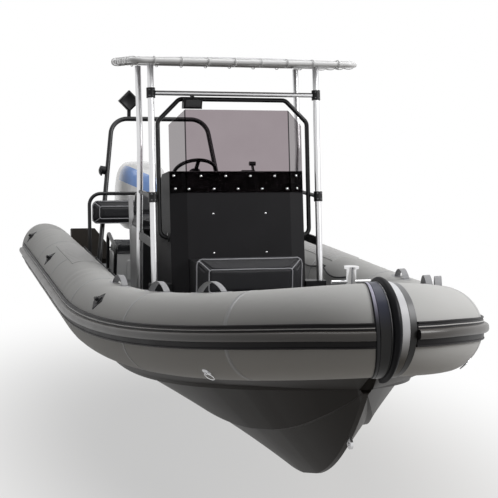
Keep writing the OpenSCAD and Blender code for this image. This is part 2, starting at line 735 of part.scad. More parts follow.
// Top: raked front legs, bent rear legs, crossbar, clamps and links
function leg_x(z) = leg_front_x - (z - leg_foot_z - 50) * leg_k;
function front_leg(z) = [leg_x(z), leg_y, z];
leg_top = roof_z - roof_d / 2 - touch;
bend_z = 1480;
rear_top_x = roof_rear + 60;
rear_bend = 260;
rear_gap = 8;
module top_legs_front() {
    color([0.8, 0.8, 0.81]) both_sides() level_bar(front_leg(leg_foot_z), front_leg(leg_top), leg_d);
}
module top_legs_rear() {
    route = [[leg_rear_x, leg_y, deck_z], [leg_rear_x, leg_y, bend_z],
        [rear_top_x, leg_y, leg_top - rear_gap]];
    color([0.8, 0.8, 0.81]) both_sides() pipe(rounded(route, rear_bend), leg_d, [0, 1, 0], 20);
}
bar_d = 36;
clamp_d = 66;
clamp_h = 74;
clamp_low_z = 1139;
module top_crossbar() {
    y = leg_y - clamp_d / 2 - touch;
    color([0.8, 0.8, 0.81]) bar([leg_x(bar_z), -y, bar_z], [leg_x(bar_z), y, bar_z], bar_d);
}
// Collar clamped round a front leg
module collar(z, d, h) {
    way = front_leg(z + h / 2) - front_leg(z - h / 2);
    difference() {
        bar(front_leg(z) - way / 2, front_leg(z) + way / 2, d);
        bar(front_leg(z) - way, front_leg(z) + way, leg_d + 2 * touch);
    }
}
link_z = 794;
link_half = 32;
link_t = 16;
stay_d = 30;
foot_h = 60;
foot_half = 50;
foot_out = 35;
module leg_clamps() {
    rear = leg_rear_x + leg_d / 2 + touch;
    foot = leg_x(leg_foot_z);
    low = link_z - link_half;
    high = link_z + link_half;
    color([0.07, 0.07, 0.07]) both_sides() {
        collar(bar_z, clamp_d, clamp_h);
        collar(clamp_low_z, clamp_d, clamp_h);
        // Foot bracket from the console's side, under the leg's end
        block([foot - foot_half, console_half + touch, leg_foot_z - foot_h],
            [foot + foot_half, leg_y + foot_out, leg_foot_z - touch]);
        // Stay plate between the legs
        across(leg_y - link_t / 2, leg_y + link_t / 2, [[rear, low], [leg_x(low) - leg_d / 2 - 2, low],
            [leg_x(high) - leg_d / 2 - 2, high], [rear, high]]);
        // Upper stay from the rear leg to the clamp
        bar([rear, leg_y, clamp_low_z],
            [leg_x(clamp_low_z) - clamp_d / 2 - touch, leg_y, clamp_low_z], stay_d);
    }
}

// Roof: rounded perimeter tube, two fore-and-aft rails, laced canvas between
roof_corner = 90;
module roof_frame() {
    r = roof_half - roof_d / 2;
    x0 = roof_rear + roof_d / 2;
    x1 = roof_front - roof_d / 2;
    mid = (x0 + x1) / 2;
    rim = [[mid, r, roof_z], [x1, r, roof_z], [x1, -r, roof_z], [x0, -r, roof_z], [x0, r, roof_z],
        [mid - 1, r, roof_z]];
    color([0.88, 0.88, 0.88]) {
        pipe(rounded(rim, roof_corner), roof_d, [0, 0, 1]);
        both_sides() bar([x0 + roof_d / 2 + touch, leg_y, roof_z],
            [x1 - roof_d / 2 - touch, leg_y, roof_z], roof_d);
    }
}
canvas_t = 8;
canvas_in = 52;
canvas_lift = 24;
crown_in = [300, 380];
module canopy() {
    z = roof_z + roof_d / 2 + touch;
    color([0.93, 0.93, 0.92]) hull() {
        block([roof_rear + canvas_in, -roof_half + canvas_in, z],
            [roof_front - canvas_in, roof_half - canvas_in, z + canvas_t]);
        block([roof_rear + crown_in.x, -roof_half + crown_in.y, z + canvas_t],
            [roof_front - crown_in.x, roof_half - crown_in.y, z + canvas_lift]);
    }
}

// Lamp hung under the crossbar
lamp_y = -330;
module deck_lamp() {
    color([0.12, 0.12, 0.12]) translate([leg_x(bar_z), lamp_y, bar_z - bar_d / 2 - touch]) {
        translate([-20, -12, -18]) cube([40, 24, 18]);
        across(-70, 70, [[-40, -96], [30, -96], [48, -18], [-30, -18]]);
    }
}

// Stern arch and its lamps
arch_k = 0.348;
arch_in = 0.144;
function arch_at(z, y) = [arch_x - (z - deck_z) * arch_k, y, z];
function arch_leg_y(z) = arch_foot_y - (z - deck_z) * arch_in;
arch_mid_z = arch_z - arch_d / 2;
arch_bend = 170;
module stern_arch() {
    half = [arch_at(deck_z, arch_foot_y), arch_at(arch_mid_z, arch_leg_y(arch_mid_z))];
    color([0.08, 0.08, 0.08])
        standing_pipe(rounded(whole(half), arch_bend, 7), arch_d, unit([1, 0, arch_k]));
}
nav_z = 1150;
horn_y = -300;
module arch_lamps() {
    p = arch_at(arch_z + touch, horn_y);
    q = arch_at(nav_z, -arch_leg_y(nav_z)) - (arch_d / 2 + 2 * touch) * [0, cos(atan(arch_in)), 0];
    color([0.07, 0.07, 0.07]) {
        translate(p) {
            translate([-16, -16, 0]) cube([32, 32, 60]);
            translate([-30, 0, 150]) rotate([0, 90, 0]) cylinder(d = 210, h = 60, $fn = 4);
        }
        translate(q) rotate([90 - atan(arch_in), 0, 0]) cylinder(d = 80, h = 50);
    }
}

// Rear bench, its cushion, and the framed backrest
bench_x0 = -2230;
bench_x1 = -1780;
module rear_bench() {
    color([0.72, 0.72, 0.72]) block([bench_x0, -bench_half, deck_z], [bench_x1, bench_half, bench_z]);
}
module rear_cushion() {
    color([0.09, 0.09, 0.1]) block([bench_x0 + 60, -bench_half, bench_z + touch],
        [bench_x1 + cushion_nose, bench_half, bench_z + cushion_t]);
}
frame_d = 34;
frame_x = -2250;
frame_z = 950;
frame_lean = 0.12;
frame_bend = 110;
module backrest_frame() {
    y = back_half - frame_d / 2;
    x = frame_x - frame_d / 2;
    half = [[x, y, deck_z], [x - (frame_z - deck_z) * frame_lean, y, frame_z]];
    color([0.07, 0.07, 0.07])
        standing_pipe(rounded(whole(half), frame_bend), frame_d, unit([1, 0, frame_lean]));
}
rear_pad_z = [655, 895];
rear_pad_t = 60;
rear_bevel = 70;
module rear_backrest() {
    half = back_half - frame_d - touch;
    color([0.09, 0.09, 0.1]) translate([frame_x - rear_pad_t - (rear_pad_z[0] - deck_z) * frame_lean, 0, 0])
        bevelled_pad(0, half, rear_pad_z[0], rear_pad_z[1], rear_pad_t, rear_bevel);
}

// Engine: clamp on the transom, swivel on its tilt tube, leg on its kingpin
tilt_z = transom_z + 75;
tilt_x = transom_aft(transom_z) + 12;
steer_x = transom_aft(transom_z) - steer_back;
tilt_d = 40;
run = 0.05;
plate_y = [100, 128];
plate_low = -60;
hook_t = 26;
// Round bar along the tilt axis
module tilt_bar(d, l) {
    translate([tilt_x, 0, tilt_z]) rotate([90, 0, 0]) cylinder(d = d, h = l, center = true);
}
module engine_clamp() {
    top = board(transom_z) + touch;
    hook = board(deck_z);
    low = board(plate_low);
    points = [from_board(-touch, low), from_board(-touch, top), from_board(transom_t + touch, top),
        from_board(transom_t + touch, hook), from_board(transom_t + hook_t, hook),
        from_board(transom_t + hook_t, top + 8), [tilt_x + 42, tilt_z + 30], [tilt_x - 36, tilt_z + 42],
        [tilt_x - 66, tilt_z - 40], from_board(-46, low)];
    color([0.3, 0.3, 0.31]) difference() {
        union() {
            both_sides() across(plate_y[0], plate_y[1], points);
            across(-plate_y[0], plate_y[0], [from_board(-touch, low), from_board(-touch, low + 70),
                from_board(-22, low + 70), from_board(-22, low)]);
        }
        tilt_bar(tilt_d + 2 * run, 400);
    }
}
swivel_d = 92;
king_d = 50;
swivel_z = [70, 420];
module engine_swivel() {
    color([0.34, 0.34, 0.35]) difference() {
        union() {
            translate([steer_x, 0, swivel_z[0]]) cylinder(d = swivel_d, h = swivel_z[1] - swivel_z[0]);
            tilt_bar(tilt_d, 2 * plate_y[1] + 24);
            // Arms back to the steering column, and the web between them
            both_sides() across(40, 94, [[tilt_x + 30, tilt_z - 20], [tilt_x + 26, tilt_z + 34],
                [steer_x, swivel_z[1] - 30], [steer_x, tilt_z - 60], [tilt_x - 60, tilt_z - 40]]);
            across(-50, 50, [[steer_x, tilt_z - 40], [steer_x + 70, tilt_z - 20],
                [steer_x + 70, tilt_z + 60], [steer_x, tilt_z + 70]]);
        }
        translate([steer_x, 0, swivel_z[0] - 1])
            cylinder(d = king_d + 2 * run, h = swivel_z[1] - swivel_z[0] + 2);
    }
}
plate_z = 20 - keel_depth;
shaft_z = plate_z - prop_d / 2 - 10;
leg_back = 70;
pan_z = 470;
// Lens-shaped slice of the leg: nose, chord, half thickness
module slice(z, nose, chord, half) {
    translate([steer_x - nose, 0, z]) linear_extrude(1) polygon([for (k = [0:15])
        let (a = 360 * k / 16) [-chord / 2 + chord / 2 * cos(a), half * sin(a) * (1 + 0.25 * cos(a))]]);
}
gear_d = 112;
gear_nose = 120;
gear_l = 470;
prop_shaft = 28;
module engine_leg() {
    color([0.75, 0.75, 0.76]) {
        hull() { slice(swivel_z[1] + 6, -60, 420, 120); slice(pan_z, -60, 460, 150); }
        hull() { slice(swivel_z[1] + 6, leg_back, 300, 95); slice(-60, leg_back, 270, 70); }
        hull() { slice(-60, leg_back, 270, 70); slice(plate_z, leg_back + 20, 240, 48); }
        hull() { slice(plate_z, leg_back - 10, 400, 95); slice(plate_z + 12, leg_back - 10, 400, 95); }
        hull() { slice(plate_z, leg_back + 20, 250, 40); slice(shaft_z, leg_back + 20, 250, 30); }
        translate([steer_x, 0, swivel_z[0] - 50]) cylinder(d = king_d, h = swivel_z[1] - swivel_z[0] + 70);
        // Lower yoke round the kingpin's end
        hull() {
            translate([steer_x, 0, swivel_z[0] - 50]) cylinder(d = 84, h = 40, $fn = 32);
            slice(swivel_z[0] - 50, leg_back, 200, 60);
            slice(swivel_z[0] - 12, leg_back, 200, 60);
        }
        // Gearcase with the propeller shaft, and the skeg under it
        translate([steer_x - gear_nose + 60, 0, shaft_z]) rotate([0, -90, 0]) rotate_extrude()
            polygon([[0, 0], [gear_d * 0.22, 12], [gear_d * 0.38, 45], [gear_d / 2, 120], [gear_d / 2, 300],
                     [gear_d * 0.44, gear_l - 40], [prop_shaft / 2, gear_l - 40],
                     [prop_shaft / 2, gear_l + 120], [0, gear_l + 120]]);
        across(-8, 8, [[steer_x - 120, shaft_z], [steer_x - 320, shaft_z],
            [steer_x - 330, shaft_z - prop_d / 2 - 20], [steer_x - 270, shaft_z - prop_d / 2 - 20]]);
    }
}
hub_x = steer_x - gear_nose + 60 - gear_l + 40 - 8;
hub_l = 120;
hub_d = 96;
prop_pitch = 420;
blade_root = 38;
blade_steps = 6;
// Blade section at a radius: width follows an arc, angle follows the pitch
function blade_loop(r) =
    let (g = (r - blade_root) / (prop_d / 2 - blade_root), w = 34 + 44 * sin(180 * pow(g, 0.85)),
         t = 9 - 6 * g, a = atan(prop_pitch / (2 * PI * r)), rake = 0.12 * (r - blade_root))
    [for (p = [[-w, 0], [0, t / 2], [w, 0], [0, -t / 2]])
        [-hub_l / 2 - rake + p.x * sin(a) * 0.5 + p.y * cos(a), p.x * cos(a) - p.y * sin(a) * 0.5, r]];
module propeller() {
    blade = [for (i = [0:blade_steps]) blade_loop(mix(blade_root, prop_d / 2, i / blade_steps))];
    color([0.12, 0.12, 0.13]) translate([hub_x, 0, shaft_z]) difference() {
        union() {
            translate([-hub_l, 0, 0]) rotate([0, 90, 0]) cylinder(d1 = hub_d * 0.86, d2 = hub_d, h = hub_l);
            for (k = [0:2]) rotate([120 * k, 0, 0]) loft(blade);
        }
        rotate([0, 90, 0]) cylinder(d = prop_shaft + 2 * run, h = 400, center = true);
    }
}

// Cowl: rows of height share, length share, width share, shift aft; hollow over the powerhead
COWL = [
    [0, 0.97, 0.92, 0], [0.12, 1, 1, 0], [0.45, 0.99, 0.99, 4], [0.7, 0.94, 0.93, 10],
    [0.86, 0.84, 0.82, 22], [0.96, 0.66, 0.62, 34], [1, 0.4, 0.36, 44]
];
cowl_front = steer_x + 60;
cowl_sides = 28;
cowl_wall = 12;
cowl_square = 0.62;
function cowl_loop(row, wall) =
    let (l = cowl_l / 2 * row[1] - wall, w = cowl_half * row[2] - wall, x = cowl_front - cowl_l / 2 - row[3],
         z = cowl_low + (cowl_top - cowl_low) * row[0] - (row[0] > 0.5 ? wall : 0))
    [for (k = [0:cowl_sides - 1]) let (a = 360 * k / cowl_sides, c = cos(a), s = sin(a))
        [x + l * sign(c) * pow(abs(c), cowl_square), w * sign(s) * pow(abs(s), cowl_square), z]];
module engine_cowl() {
    color([0.93, 0.93, 0.92]) difference() {
        loft([for (row = COWL) cowl_loop(row, 0)]);
        loft(concat([[for (p = cowl_loop(COWL[0], cowl_wall)) p - [0, 0, 5]]],
            [for (row = COWL) cowl_loop(row, cowl_wall)]));
    }
}
// Pan: the cowl's lowest loop carried down to a smaller foot on the leg
pan_h = 80;
function pan_loop(row, z) = [for (p = cowl_loop(row, 0)) [p.x, p.y, z]];
module engine_pan() {
    foot = [0, 0.62, 0.7, -20];
    color([0.78, 0.78, 0.78]) loft([pan_loop(foot, pan_z + 1 + touch), pan_loop(COWL[0], cowl_low - pan_h),
        pan_loop(COWL[0], cowl_low - touch)]);
}
block_half = 130;
block_h = 330;
module engine_block() {
    color([0.25, 0.25, 0.26]) {
        block([cowl_front - cowl_l * 0.72, -block_half, cowl_low],
            [cowl_front - cowl_l * 0.22, block_half, cowl_low + block_h]);
        translate([cowl_front - cowl_l * 0.45, 0, cowl_low + block_h]) cylinder(d = 220, h = 60);
    }
}

hull_shell();
deck();
transom();
tube_port();
tube_starboard();
rub_strakes();
bow_band();
bow_rib();
tube_handles();
lifelines();
tube_cleats();
step_pads();
tow_rings();
bow_post();
towing_eyes();
console();
windscreen();
console_hoop();
front_seat_box();
front_cushion();
front_backrest();
helm_wheel();
throttle();
helm_seat_base();
helm_cushion();
helm_backrest();
grab_frames();
top_legs_front();
top_legs_rear();
top_crossbar();
leg_clamps();
roof_frame();
canopy();
deck_lamp();
stern_arch();
arch_lamps();
rear_bench();
rear_cushion();
backrest_frame();
rear_backrest();
engine_clamp();
engine_swivel();
engine_leg();
engine_pan();
engine_cowl();
engine_block();
propeller();
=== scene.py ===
# Rigid inflatable boat with a centre console, a laced T-top, a stern arch and an outboard engine.
# Metres; +X is the bow, +Y is port, +Z is up, and the origin is on the waterline amidships.
from functools import partialmethod
from itertools import product
from math import atan2, copysign, cos, degrees, exp, pi, radians, sin, sqrt, tan

import bmesh
import bpy
from mathutils import Matrix, Vector
from mathutils.bvhtree import BVHTree


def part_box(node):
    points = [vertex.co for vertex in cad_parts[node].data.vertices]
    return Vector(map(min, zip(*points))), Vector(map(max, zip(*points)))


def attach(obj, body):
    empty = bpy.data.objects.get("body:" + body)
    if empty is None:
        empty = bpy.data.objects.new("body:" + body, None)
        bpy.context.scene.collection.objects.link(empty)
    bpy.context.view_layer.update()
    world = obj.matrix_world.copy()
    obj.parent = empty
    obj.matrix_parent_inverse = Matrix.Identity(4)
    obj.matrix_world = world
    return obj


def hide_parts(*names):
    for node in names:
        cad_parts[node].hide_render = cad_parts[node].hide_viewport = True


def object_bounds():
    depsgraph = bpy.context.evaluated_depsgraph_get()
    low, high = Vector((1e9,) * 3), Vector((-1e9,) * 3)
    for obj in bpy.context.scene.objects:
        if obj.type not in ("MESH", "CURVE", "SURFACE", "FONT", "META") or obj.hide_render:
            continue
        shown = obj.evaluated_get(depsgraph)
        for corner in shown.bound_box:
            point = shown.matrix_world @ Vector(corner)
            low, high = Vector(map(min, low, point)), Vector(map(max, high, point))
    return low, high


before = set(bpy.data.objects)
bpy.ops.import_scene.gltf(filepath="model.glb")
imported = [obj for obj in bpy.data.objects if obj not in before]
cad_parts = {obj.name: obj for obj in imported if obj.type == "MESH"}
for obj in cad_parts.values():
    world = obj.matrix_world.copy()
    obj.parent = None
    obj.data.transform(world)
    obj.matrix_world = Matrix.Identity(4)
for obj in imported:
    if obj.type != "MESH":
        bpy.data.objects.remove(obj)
cad_box = [list(corner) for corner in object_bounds()]
scene = bpy.context.scene
scene.view_settings.view_transform = "Standard"

# Studio
# A pale floor just under the skeg, a white surround, and soft lamps above and to port, where
# the photograph's light comes from. The camera stands ahead of the bow, a little to starboard.
FLOOR_Z, FLOOR_HALF = cad_box[0][2] - 0.01, 60
# The floor shows its paint and the shadow near the boat, partly, and goes over to white further out
FLOOR_OVAL, FLOOR_FADE, FLOOR_LIFT = (0.5, 1, 0), (0.8, 3.2), 0.55
# Strength of the white surround as light, and where it is looked at
SKY_LIGHT, SKY_SHOWN = 0.11, 1.0
# The lens that was fitted to the photograph, in its pixels
PHOTO_SIDE, LENS_PIXELS, SENSOR = 498, 1262.35, 36
EYE = Vector((9.4576, -2.4073, 1.9423))
YAW, PITCH, ROLL = (radians(a) for a in (15.243, 7.180, 0.964))
UP = Vector((0, 0, 1))


class Wire:
    """A shader socket that takes part in Python expressions, which add the Math nodes."""

    def __init__(self, graph, socket):
        self.graph, self.socket = graph, socket

    def math(self, operation, *others):
        return self.graph.node("Math", {"operation": operation}, dict(enumerate((self, *others))))

    def reflected(self, operation, first):
        """The same with the other value first, as in 1 - mask."""
        return self.graph.node("Math", {"operation": operation}, {0: first, 1: self})

    __add__ = __radd__ = partialmethod(math, "ADD")
    __sub__, __rsub__ = partialmethod(math, "SUBTRACT"), partialmethod(reflected, "SUBTRACT")
    __mul__ = __rmul__ = partialmethod(math, "MULTIPLY")
    __truediv__, __rtruediv__ = partialmethod(math, "DIVIDE"), partialmethod(reflected, "DIVIDE")
    __gt__ = partialmethod(math, "GREATER_THAN")
    __lt__ = partialmethod(math, "LESS_THAN")
    __abs__ = partialmethod(math, "ABSOLUTE")

    def ease(self, low, high):
        """0 below low and 1 above high, with a soft step between."""
        ends = {"Value": self, "From Min": low, "From Max": high}
        return self.graph.node("MapRange", {"interpolation_type": "SMOOTHSTEP"}, ends)

    def axes(self):
        return [self.graph.node("SeparateXYZ", {}, {0: self}, out=i) for i in range(3)]


class Graph:
    """A node tree, to which one method adds the nodes."""

    def __init__(self, tree):
        self.tree = tree

    def node(self, kind, settings=None, values=None, out=0):
        """Adds a node: its settings first, then the value or wire of each socket."""
        made = self.tree.nodes.new("ShaderNode" + kind)
        for key, value in (settings or {}).items():
            setattr(made, key, value)
        for key, value in (values or {}).items():
            if isinstance(value, Wire):
                self.tree.links.new(value.socket, made.inputs[key])
            elif isinstance(value, tuple) and made.inputs[key].type == "RGBA":
                made.inputs[key].default_value = (*value, 1)
            else:
                made.inputs[key].default_value = value
        return Wire(self, made.outputs[out])

    def link(self, wire, node, socket):
        self.tree.links.new(wire.socket, self.tree.nodes[node].inputs[socket])

    def seen(self):
        """1 for a ray that looks at a thing straight, in a mirror or through glass."""
        kinds = ("Camera", "Glossy", "Transmission")
        straight, mirrored, through = (self.node("LightPath", out=f"Is {kind} Ray") for kind in kinds)
        return straight.math("MAXIMUM", mirrored.math("MAXIMUM", through))


class Finish(Graph):
    """A surface finish: constants sit on the shader's sockets, and wires feed what varies.

    cloud is the scale of its soft changes, the shares of its colour between which they go, and how
    far they change its roughness. grain is the scale, depth and strength of its fine bumps."""

    def __init__(self, name, color, roughness, cloud=None, grain=None, gloss=0.5, **sockets):
        self.material = bpy.data.materials.new(name)
        self.material.use_nodes = True
        super().__init__(self.material.node_tree)
        self.shader = self.tree.nodes["Principled BSDF"]
        sockets |= {"Base Color": (*color, 1), "Roughness": roughness, "Specular IOR Level": gloss}
        for key, value in sockets.items():
            self.shader.inputs[key.replace("_", " ")].default_value = value
        self.place = self.node("TexCoord", out="Object")
        if cloud:
            scale, low, high, uneven = cloud
            soft = self.noise(scale)
            ends = [tuple(c * share for c in color) for share in (low, high)]
            self.feed("Base Color", self.blend(soft, *ends))
            self.feed("Roughness", soft * uneven + (roughness - uneven / 2))
        if grain:
            scale, depth, strength = grain
            self.bump(self.noise(scale, 2), depth, strength)

    def feed(self, socket, wire):
        self.link(wire, self.shader.name, socket)

    def blend(self, share, first, second):
        """Colour that goes from the first to the second as share goes from 0 to 1."""
        return self.node("Mix", {"data_type": "RGBA"}, {0: share, 6: first, 7: second}, out=2)

    def noise(self, scale, detail=3.0, stretch=(1, 1, 1)):
        spot = self.node("Mapping", {}, {"Vector": self.place, "Scale": stretch})
        return self.node("TexNoise", {}, {"Vector": spot, "Scale": scale, "Detail": detail})

    def texture(self, kind, scale, settings=None, **values):
        return self.node("Tex" + kind, settings, {"Vector": self.place, "Scale": scale, **values})

    def bump(self, height, distance, strength):
        values = {"Height": height, "Distance": distance, "Strength": strength}
        self.feed("Normal", self.node("Bump", {}, values))


def put(name, data):
    thing = bpy.data.objects.new(name, data)
    scene.collection.objects.link(thing)
    return thing


floor_mesh = bpy.data.meshes.new("floor")
corners = [(x * FLOOR_HALF, y * FLOOR_HALF, FLOOR_Z) for x, y in ((-1, -1), (1, -1), (1, 1), (-1, 1))]
floor_mesh.from_pydata(corners, [], [(0, 1, 2, 3)])
floor = put("floor", floor_mesh)
floor_paint = Finish("pale_floor", (0.27, 0.25, 0.225), 0.9)
oval = floor_paint.node("Mapping", {}, {"Vector": floor_paint.place, "Scale": FLOOR_OVAL})
away = floor_paint.node("VectorMath", {"operation": "LENGTH"}, {0: oval}, out="Value")
white = floor_paint.node("Emission", {}, {"Color": (1, 1, 1), "Strength": 1.0})
painted = Wire(floor_paint, floor_paint.shader.outputs[0])
shown = (away.ease(*FLOOR_FADE) * (1 - FLOOR_LIFT) + FLOOR_LIFT) * floor_paint.seen()
laid = floor_paint.node("MixShader", {}, {0: shown, 1: painted, 2: white})
floor_paint.link(laid, "Material Output", "Surface")
floor_mesh.materials.append(floor_paint.material)

surround = bpy.data.worlds.new("surround")
surround.use_nodes = True
scene.world = surround
sky = Graph(surround.node_tree)
sky.tree.nodes["Background"].inputs["Color"].default_value = (1, 1, 1, 1)
level = sky.node("MapRange", {}, {"Value": sky.seen(), "To Min": SKY_LIGHT, "To Max": SKY_SHOWN})
sky.link(level, "Background", "Strength")

# Lamp: place, aim, size in metres, power in watts
for lamp_name, spot, aim, size, power in (
    ("key_lamp", (6.5, 7.5, 6.5), (1.5, 0, 0.5), 5, 880),
    ("top_lamp", (0.5, 0.5, 8.0), (0.5, 0, 0), 8, 400),
    ("fill_lamp", (6.0, -8.0, 4.0), (0.5, 0, 0.4), 6, 12),
):
    lamp = put(lamp_name, bpy.data.lights.new(lamp_name, "AREA"))
    lamp.data.size, lamp.data.energy = size, power
    lamp.location = spot
    lamp.rotation_euler = (Vector(aim) - Vector(spot)).to_track_quat("-Z", "Y").to_euler()

camera = put("camera", bpy.data.cameras.new("camera"))
camera.data.sensor_width = SENSOR
camera.data.lens = LENS_PIXELS / PHOTO_SIDE * SENSOR
ahead = Vector((-cos(YAW) * cos(PITCH), sin(YAW) * cos(PITCH), -sin(PITCH)))
right = ahead.cross(UP).normalized()
over = right.cross(ahead)
right, over = right * cos(ROLL) + over * sin(ROLL), over * cos(ROLL) - right * sin(ROLL)
camera.matrix_world = Matrix([*zip(right, over, -ahead, EYE), (0, 0, 0, 1)])
scene.camera = camera

# Inflated tubes
# Two air tubes of grey coated fabric, glued up from panels: straight along the sides, swept up
# and in to meet at the nose, and drawn to a cone at the stern. Welded seams cross them.
TUBE_R, HALF_BEAM, TUBE_Z = 0.250, 1.081, 0.351
BOW_X, BOW_LEN, BOW_RISE = 0.376, 2.912, 0.341
BOW_POWER_X, BOW_POWER_Y = 1.02, 1.132
CONE_X, CONE_LEN, CONE_POWER = -2.800, 0.752, 2.1
FAN_T = 76
# Steps round the tube, and along its cone, side and turn
ROUND, CONE_STEPS, SIDE_STEPS, TURN_STEPS = 64, 26, 110, 92
CONE_NEAR, CONE_FAR, SIDE_SHORT = 0.02, 0.748, 0.02
# Trim that lies on a surface starts this far below it
SUNK = 0.001


def bow_point(t):
    """Middle of the port tube at an angle round the bow's turn, in degrees."""
    s = sin(radians(t)) ** BOW_POWER_X
    c = max(cos(radians(t)), 0) ** BOW_POWER_Y
    return Vector((BOW_X + BOW_LEN * s, HALF_BEAM * c, TUBE_Z + BOW_RISE * s * s))


def curve_way(t):
    return (bow_point(t + 0.2) - bow_point(t - 0.2)).normalized()


fan_way = curve_way(FAN_T)
fan_x = bow_point(FAN_T).x + bow_point(FAN_T).y * fan_way.y / fan_way.x


def bow_way(t):
    if t <= FAN_T:
        return curve_way(t) if t > 0 else Vector((1, 0, 0))
    out = Vector((bow_point(t).x - fan_x, bow_point(t).y, 0)).normalized()
    return Vector((out.y, -out.x, curve_way(t).z)).normalized()


class Station:
    """A place along the port tube: its middle, its outward and upward directions and its radius."""

    def __init__(self, middle, way, radius=TUBE_R, turn=-1):
        self.middle, self.radius, self.turn = middle, radius, turn
        self.way = way
        self.out = Vector((-way.y, way.x, 0)).normalized()
        self.up = way.cross(self.out)

    def at(self, angle, radius=None):
        a = radians(angle)
        r = self.radius if radius is None else radius
        return self.middle + r * (cos(a) * self.out + sin(a) * self.up)


def bow(t):
    return Station(bow_point(t), bow_way(t), turn=t)


def along(x, radius=TUBE_R):
    return Station(Vector((x, HALF_BEAM, TUBE_Z + (TUBE_R - radius) / 2)), Vector((1, 0, 0)), radius)


def spread(first, last, count):
    return [first + (last - first) * i / (count - 1) for i in range(count)]


def mirrored_y(p):
    return Vector((p[0], -p[1], p[2]))


def circle(side, lift, sides):
    """Unit vectors round a circle."""
    turn = [2 * pi * k / sides for k in range(sides)]
    return [cos(a) * side + sin(a) * lift for a in turn]


# How a point of the port half goes to each side
SIDES = {"port": Vector, "starboard": mirrored_y}


class Moulding:
    """Collects skins into one mesh. A skin's points are its own, so edges between skins stay crisp."""

    def __init__(self):
        self.points, self.faces, self.slots = [], [], []

    def skin(self, rows, slot=0, closed=False):
        start, across = len(self.points), len(rows[0])
        self.points += [p for row in rows for p in row]
        for i in range(len(rows) - 1):
            for j in range(across if closed else across - 1):
                k = (j + 1) % across
                a, b = start + i * across, start + (i + 1) * across
                self.faces.append((a + j, b + j, b + k, a + k))
                self.slots.append(slot)
        return self

    def lid(self, loop, slot=0):
        self.faces.append(tuple(range(len(self.points), len(self.points) + len(loop))))
        self.points += list(loop)
        self.slots.append(slot)
        return self

    def pipe(self, path, diameter, sides=16, slot=0):
        """Round tube along a path, closed at both ends."""
        rows, side = [], None
        for i, p in enumerate(path):
            way = (path[min(i + 1, len(path) - 1)] - path[max(i - 1, 0)]).normalized()
            side = (side - way * side.dot(way) if side else way.orthogonal()).normalized()
            rows.append([p + diameter / 2 * spoke for spoke in circle(side, way.cross(side), sides)])
        return self.skin(rows, slot, True).lid(rows[0], slot).lid(rows[-1], slot)

    def release(self, name, *finishes, smooth=True, join=None):
        mesh = bpy.data.meshes.new(name)
        mesh.from_pydata([tuple(p) for p in self.points], [], self.faces)
        for finish in finishes:
            mesh.materials.append(finish.material)
        mesh.polygons.foreach_set("material_index", self.slots)
        mesh.polygons.foreach_set("use_smooth", [smooth] * len(self.faces))
        work = bmesh.new()
        work.from_mesh(mesh)
        if join:
            bmesh.ops.remove_doubles(work, verts=work.verts, dist=join)
        bmesh.ops.recalc_face_normals(work, faces=work.faces)
        work.to_mesh(mesh)
        work.free()
        return put(name, mesh)


def fit(piece, slot, *replaced, body="boat"):
    """Fixes a piece to its body and hides the plain solids that it stands for. The slot is not used."""
    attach(piece, body)
    if replaced:
        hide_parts(*replaced)
    return piece


# Glued panel joints: place along the straight run, or angle round the bow
SEAMS_X = (-2.62, -1.55, -0.55)
SEAMS_T = (6, 31, 57)
SEAM_TAPE, SEAM_T = 0.030, 0.0012
# Soft creases: place along the boat, depth
RIPPLES = [(-2.35, 0.006), (-2.22, 0.008), (-2.08, 0.006), (0.10, 0.005), (0.26, 0.007), (0.42, 0.005)]
RIPPLE_W, RIPPLE_LEAN = 0.045, 15

tube_fabric = Finish("tube_fabric", (0.435, 0.432, 0.423), 0.58, (1.6, 0.93, 1.07, 0.12), gloss=0.2)
weave = tube_fabric.noise(900, 1) * 0.5 + tube_fabric.noise(14, 2) * 1.5
tube_fabric.bump(weave, 0.0012, 0.35)
seam_fabric = Finish("seam_fabric", (0.38, 0.38, 0.385), 0.5, (9, 0.94, 1.05, 0.1))


def ripple(x, angle):
    """Depth of the soft creases where the fabric is drawn in over the inner bulkheads."""
    top = max(0, sin(radians(angle + RIPPLE_LEAN)))
    return -sum(d * exp(-(((x - c) / RIPPLE_W) ** 2)) for c, d in RIPPLES) * top


turns = [360 * k / ROUND for k in range(ROUND)]
cone = []
for d in spread(CONE_FAR, CONE_NEAR, CONE_STEPS):
    cone.append(along(CONE_X - d, TUBE_R * sqrt(1 - (d / CONE_LEN) ** CONE_POWER)))
straight = [along(x) for x in spread(CONE_X, BOW_X - SIDE_SHORT, SIDE_STEPS)]
runs = cone + straight + [bow(t) for t in spread(0, 90, TURN_STEPS)]
for side, mirror in SIDES.items():
    rows = [[mirror(s.at(a, s.radius + ripple(s.middle.x, a))) for a in turns] for s in runs]
    tube = Moulding().skin(rows, closed=True).lid(rows[0]).lid(rows[-1])
    fit(tube.release(f"tube_{side}_skin", tube_fabric), "tube_fabric", f"tube_{side}")
    tapes = Moulding()
    for s in [along(x) for x in SEAMS_X] + [bow(t) for t in SEAMS_T]:
        rows = []
        for shift, lift in ((-0.5, -SUNK), (-0.5, SEAM_T), (0.5, SEAM_T), (0.5, -SUNK)):
            step = s.way * shift * SEAM_TAPE
            rows.append([mirror(s.at(a, s.radius + lift) + step) for a in turns])
        tapes.skin(rows, closed=True)
    fit(tapes.release(f"seam_tapes_{side}", seam_fabric), "tube_fabric")

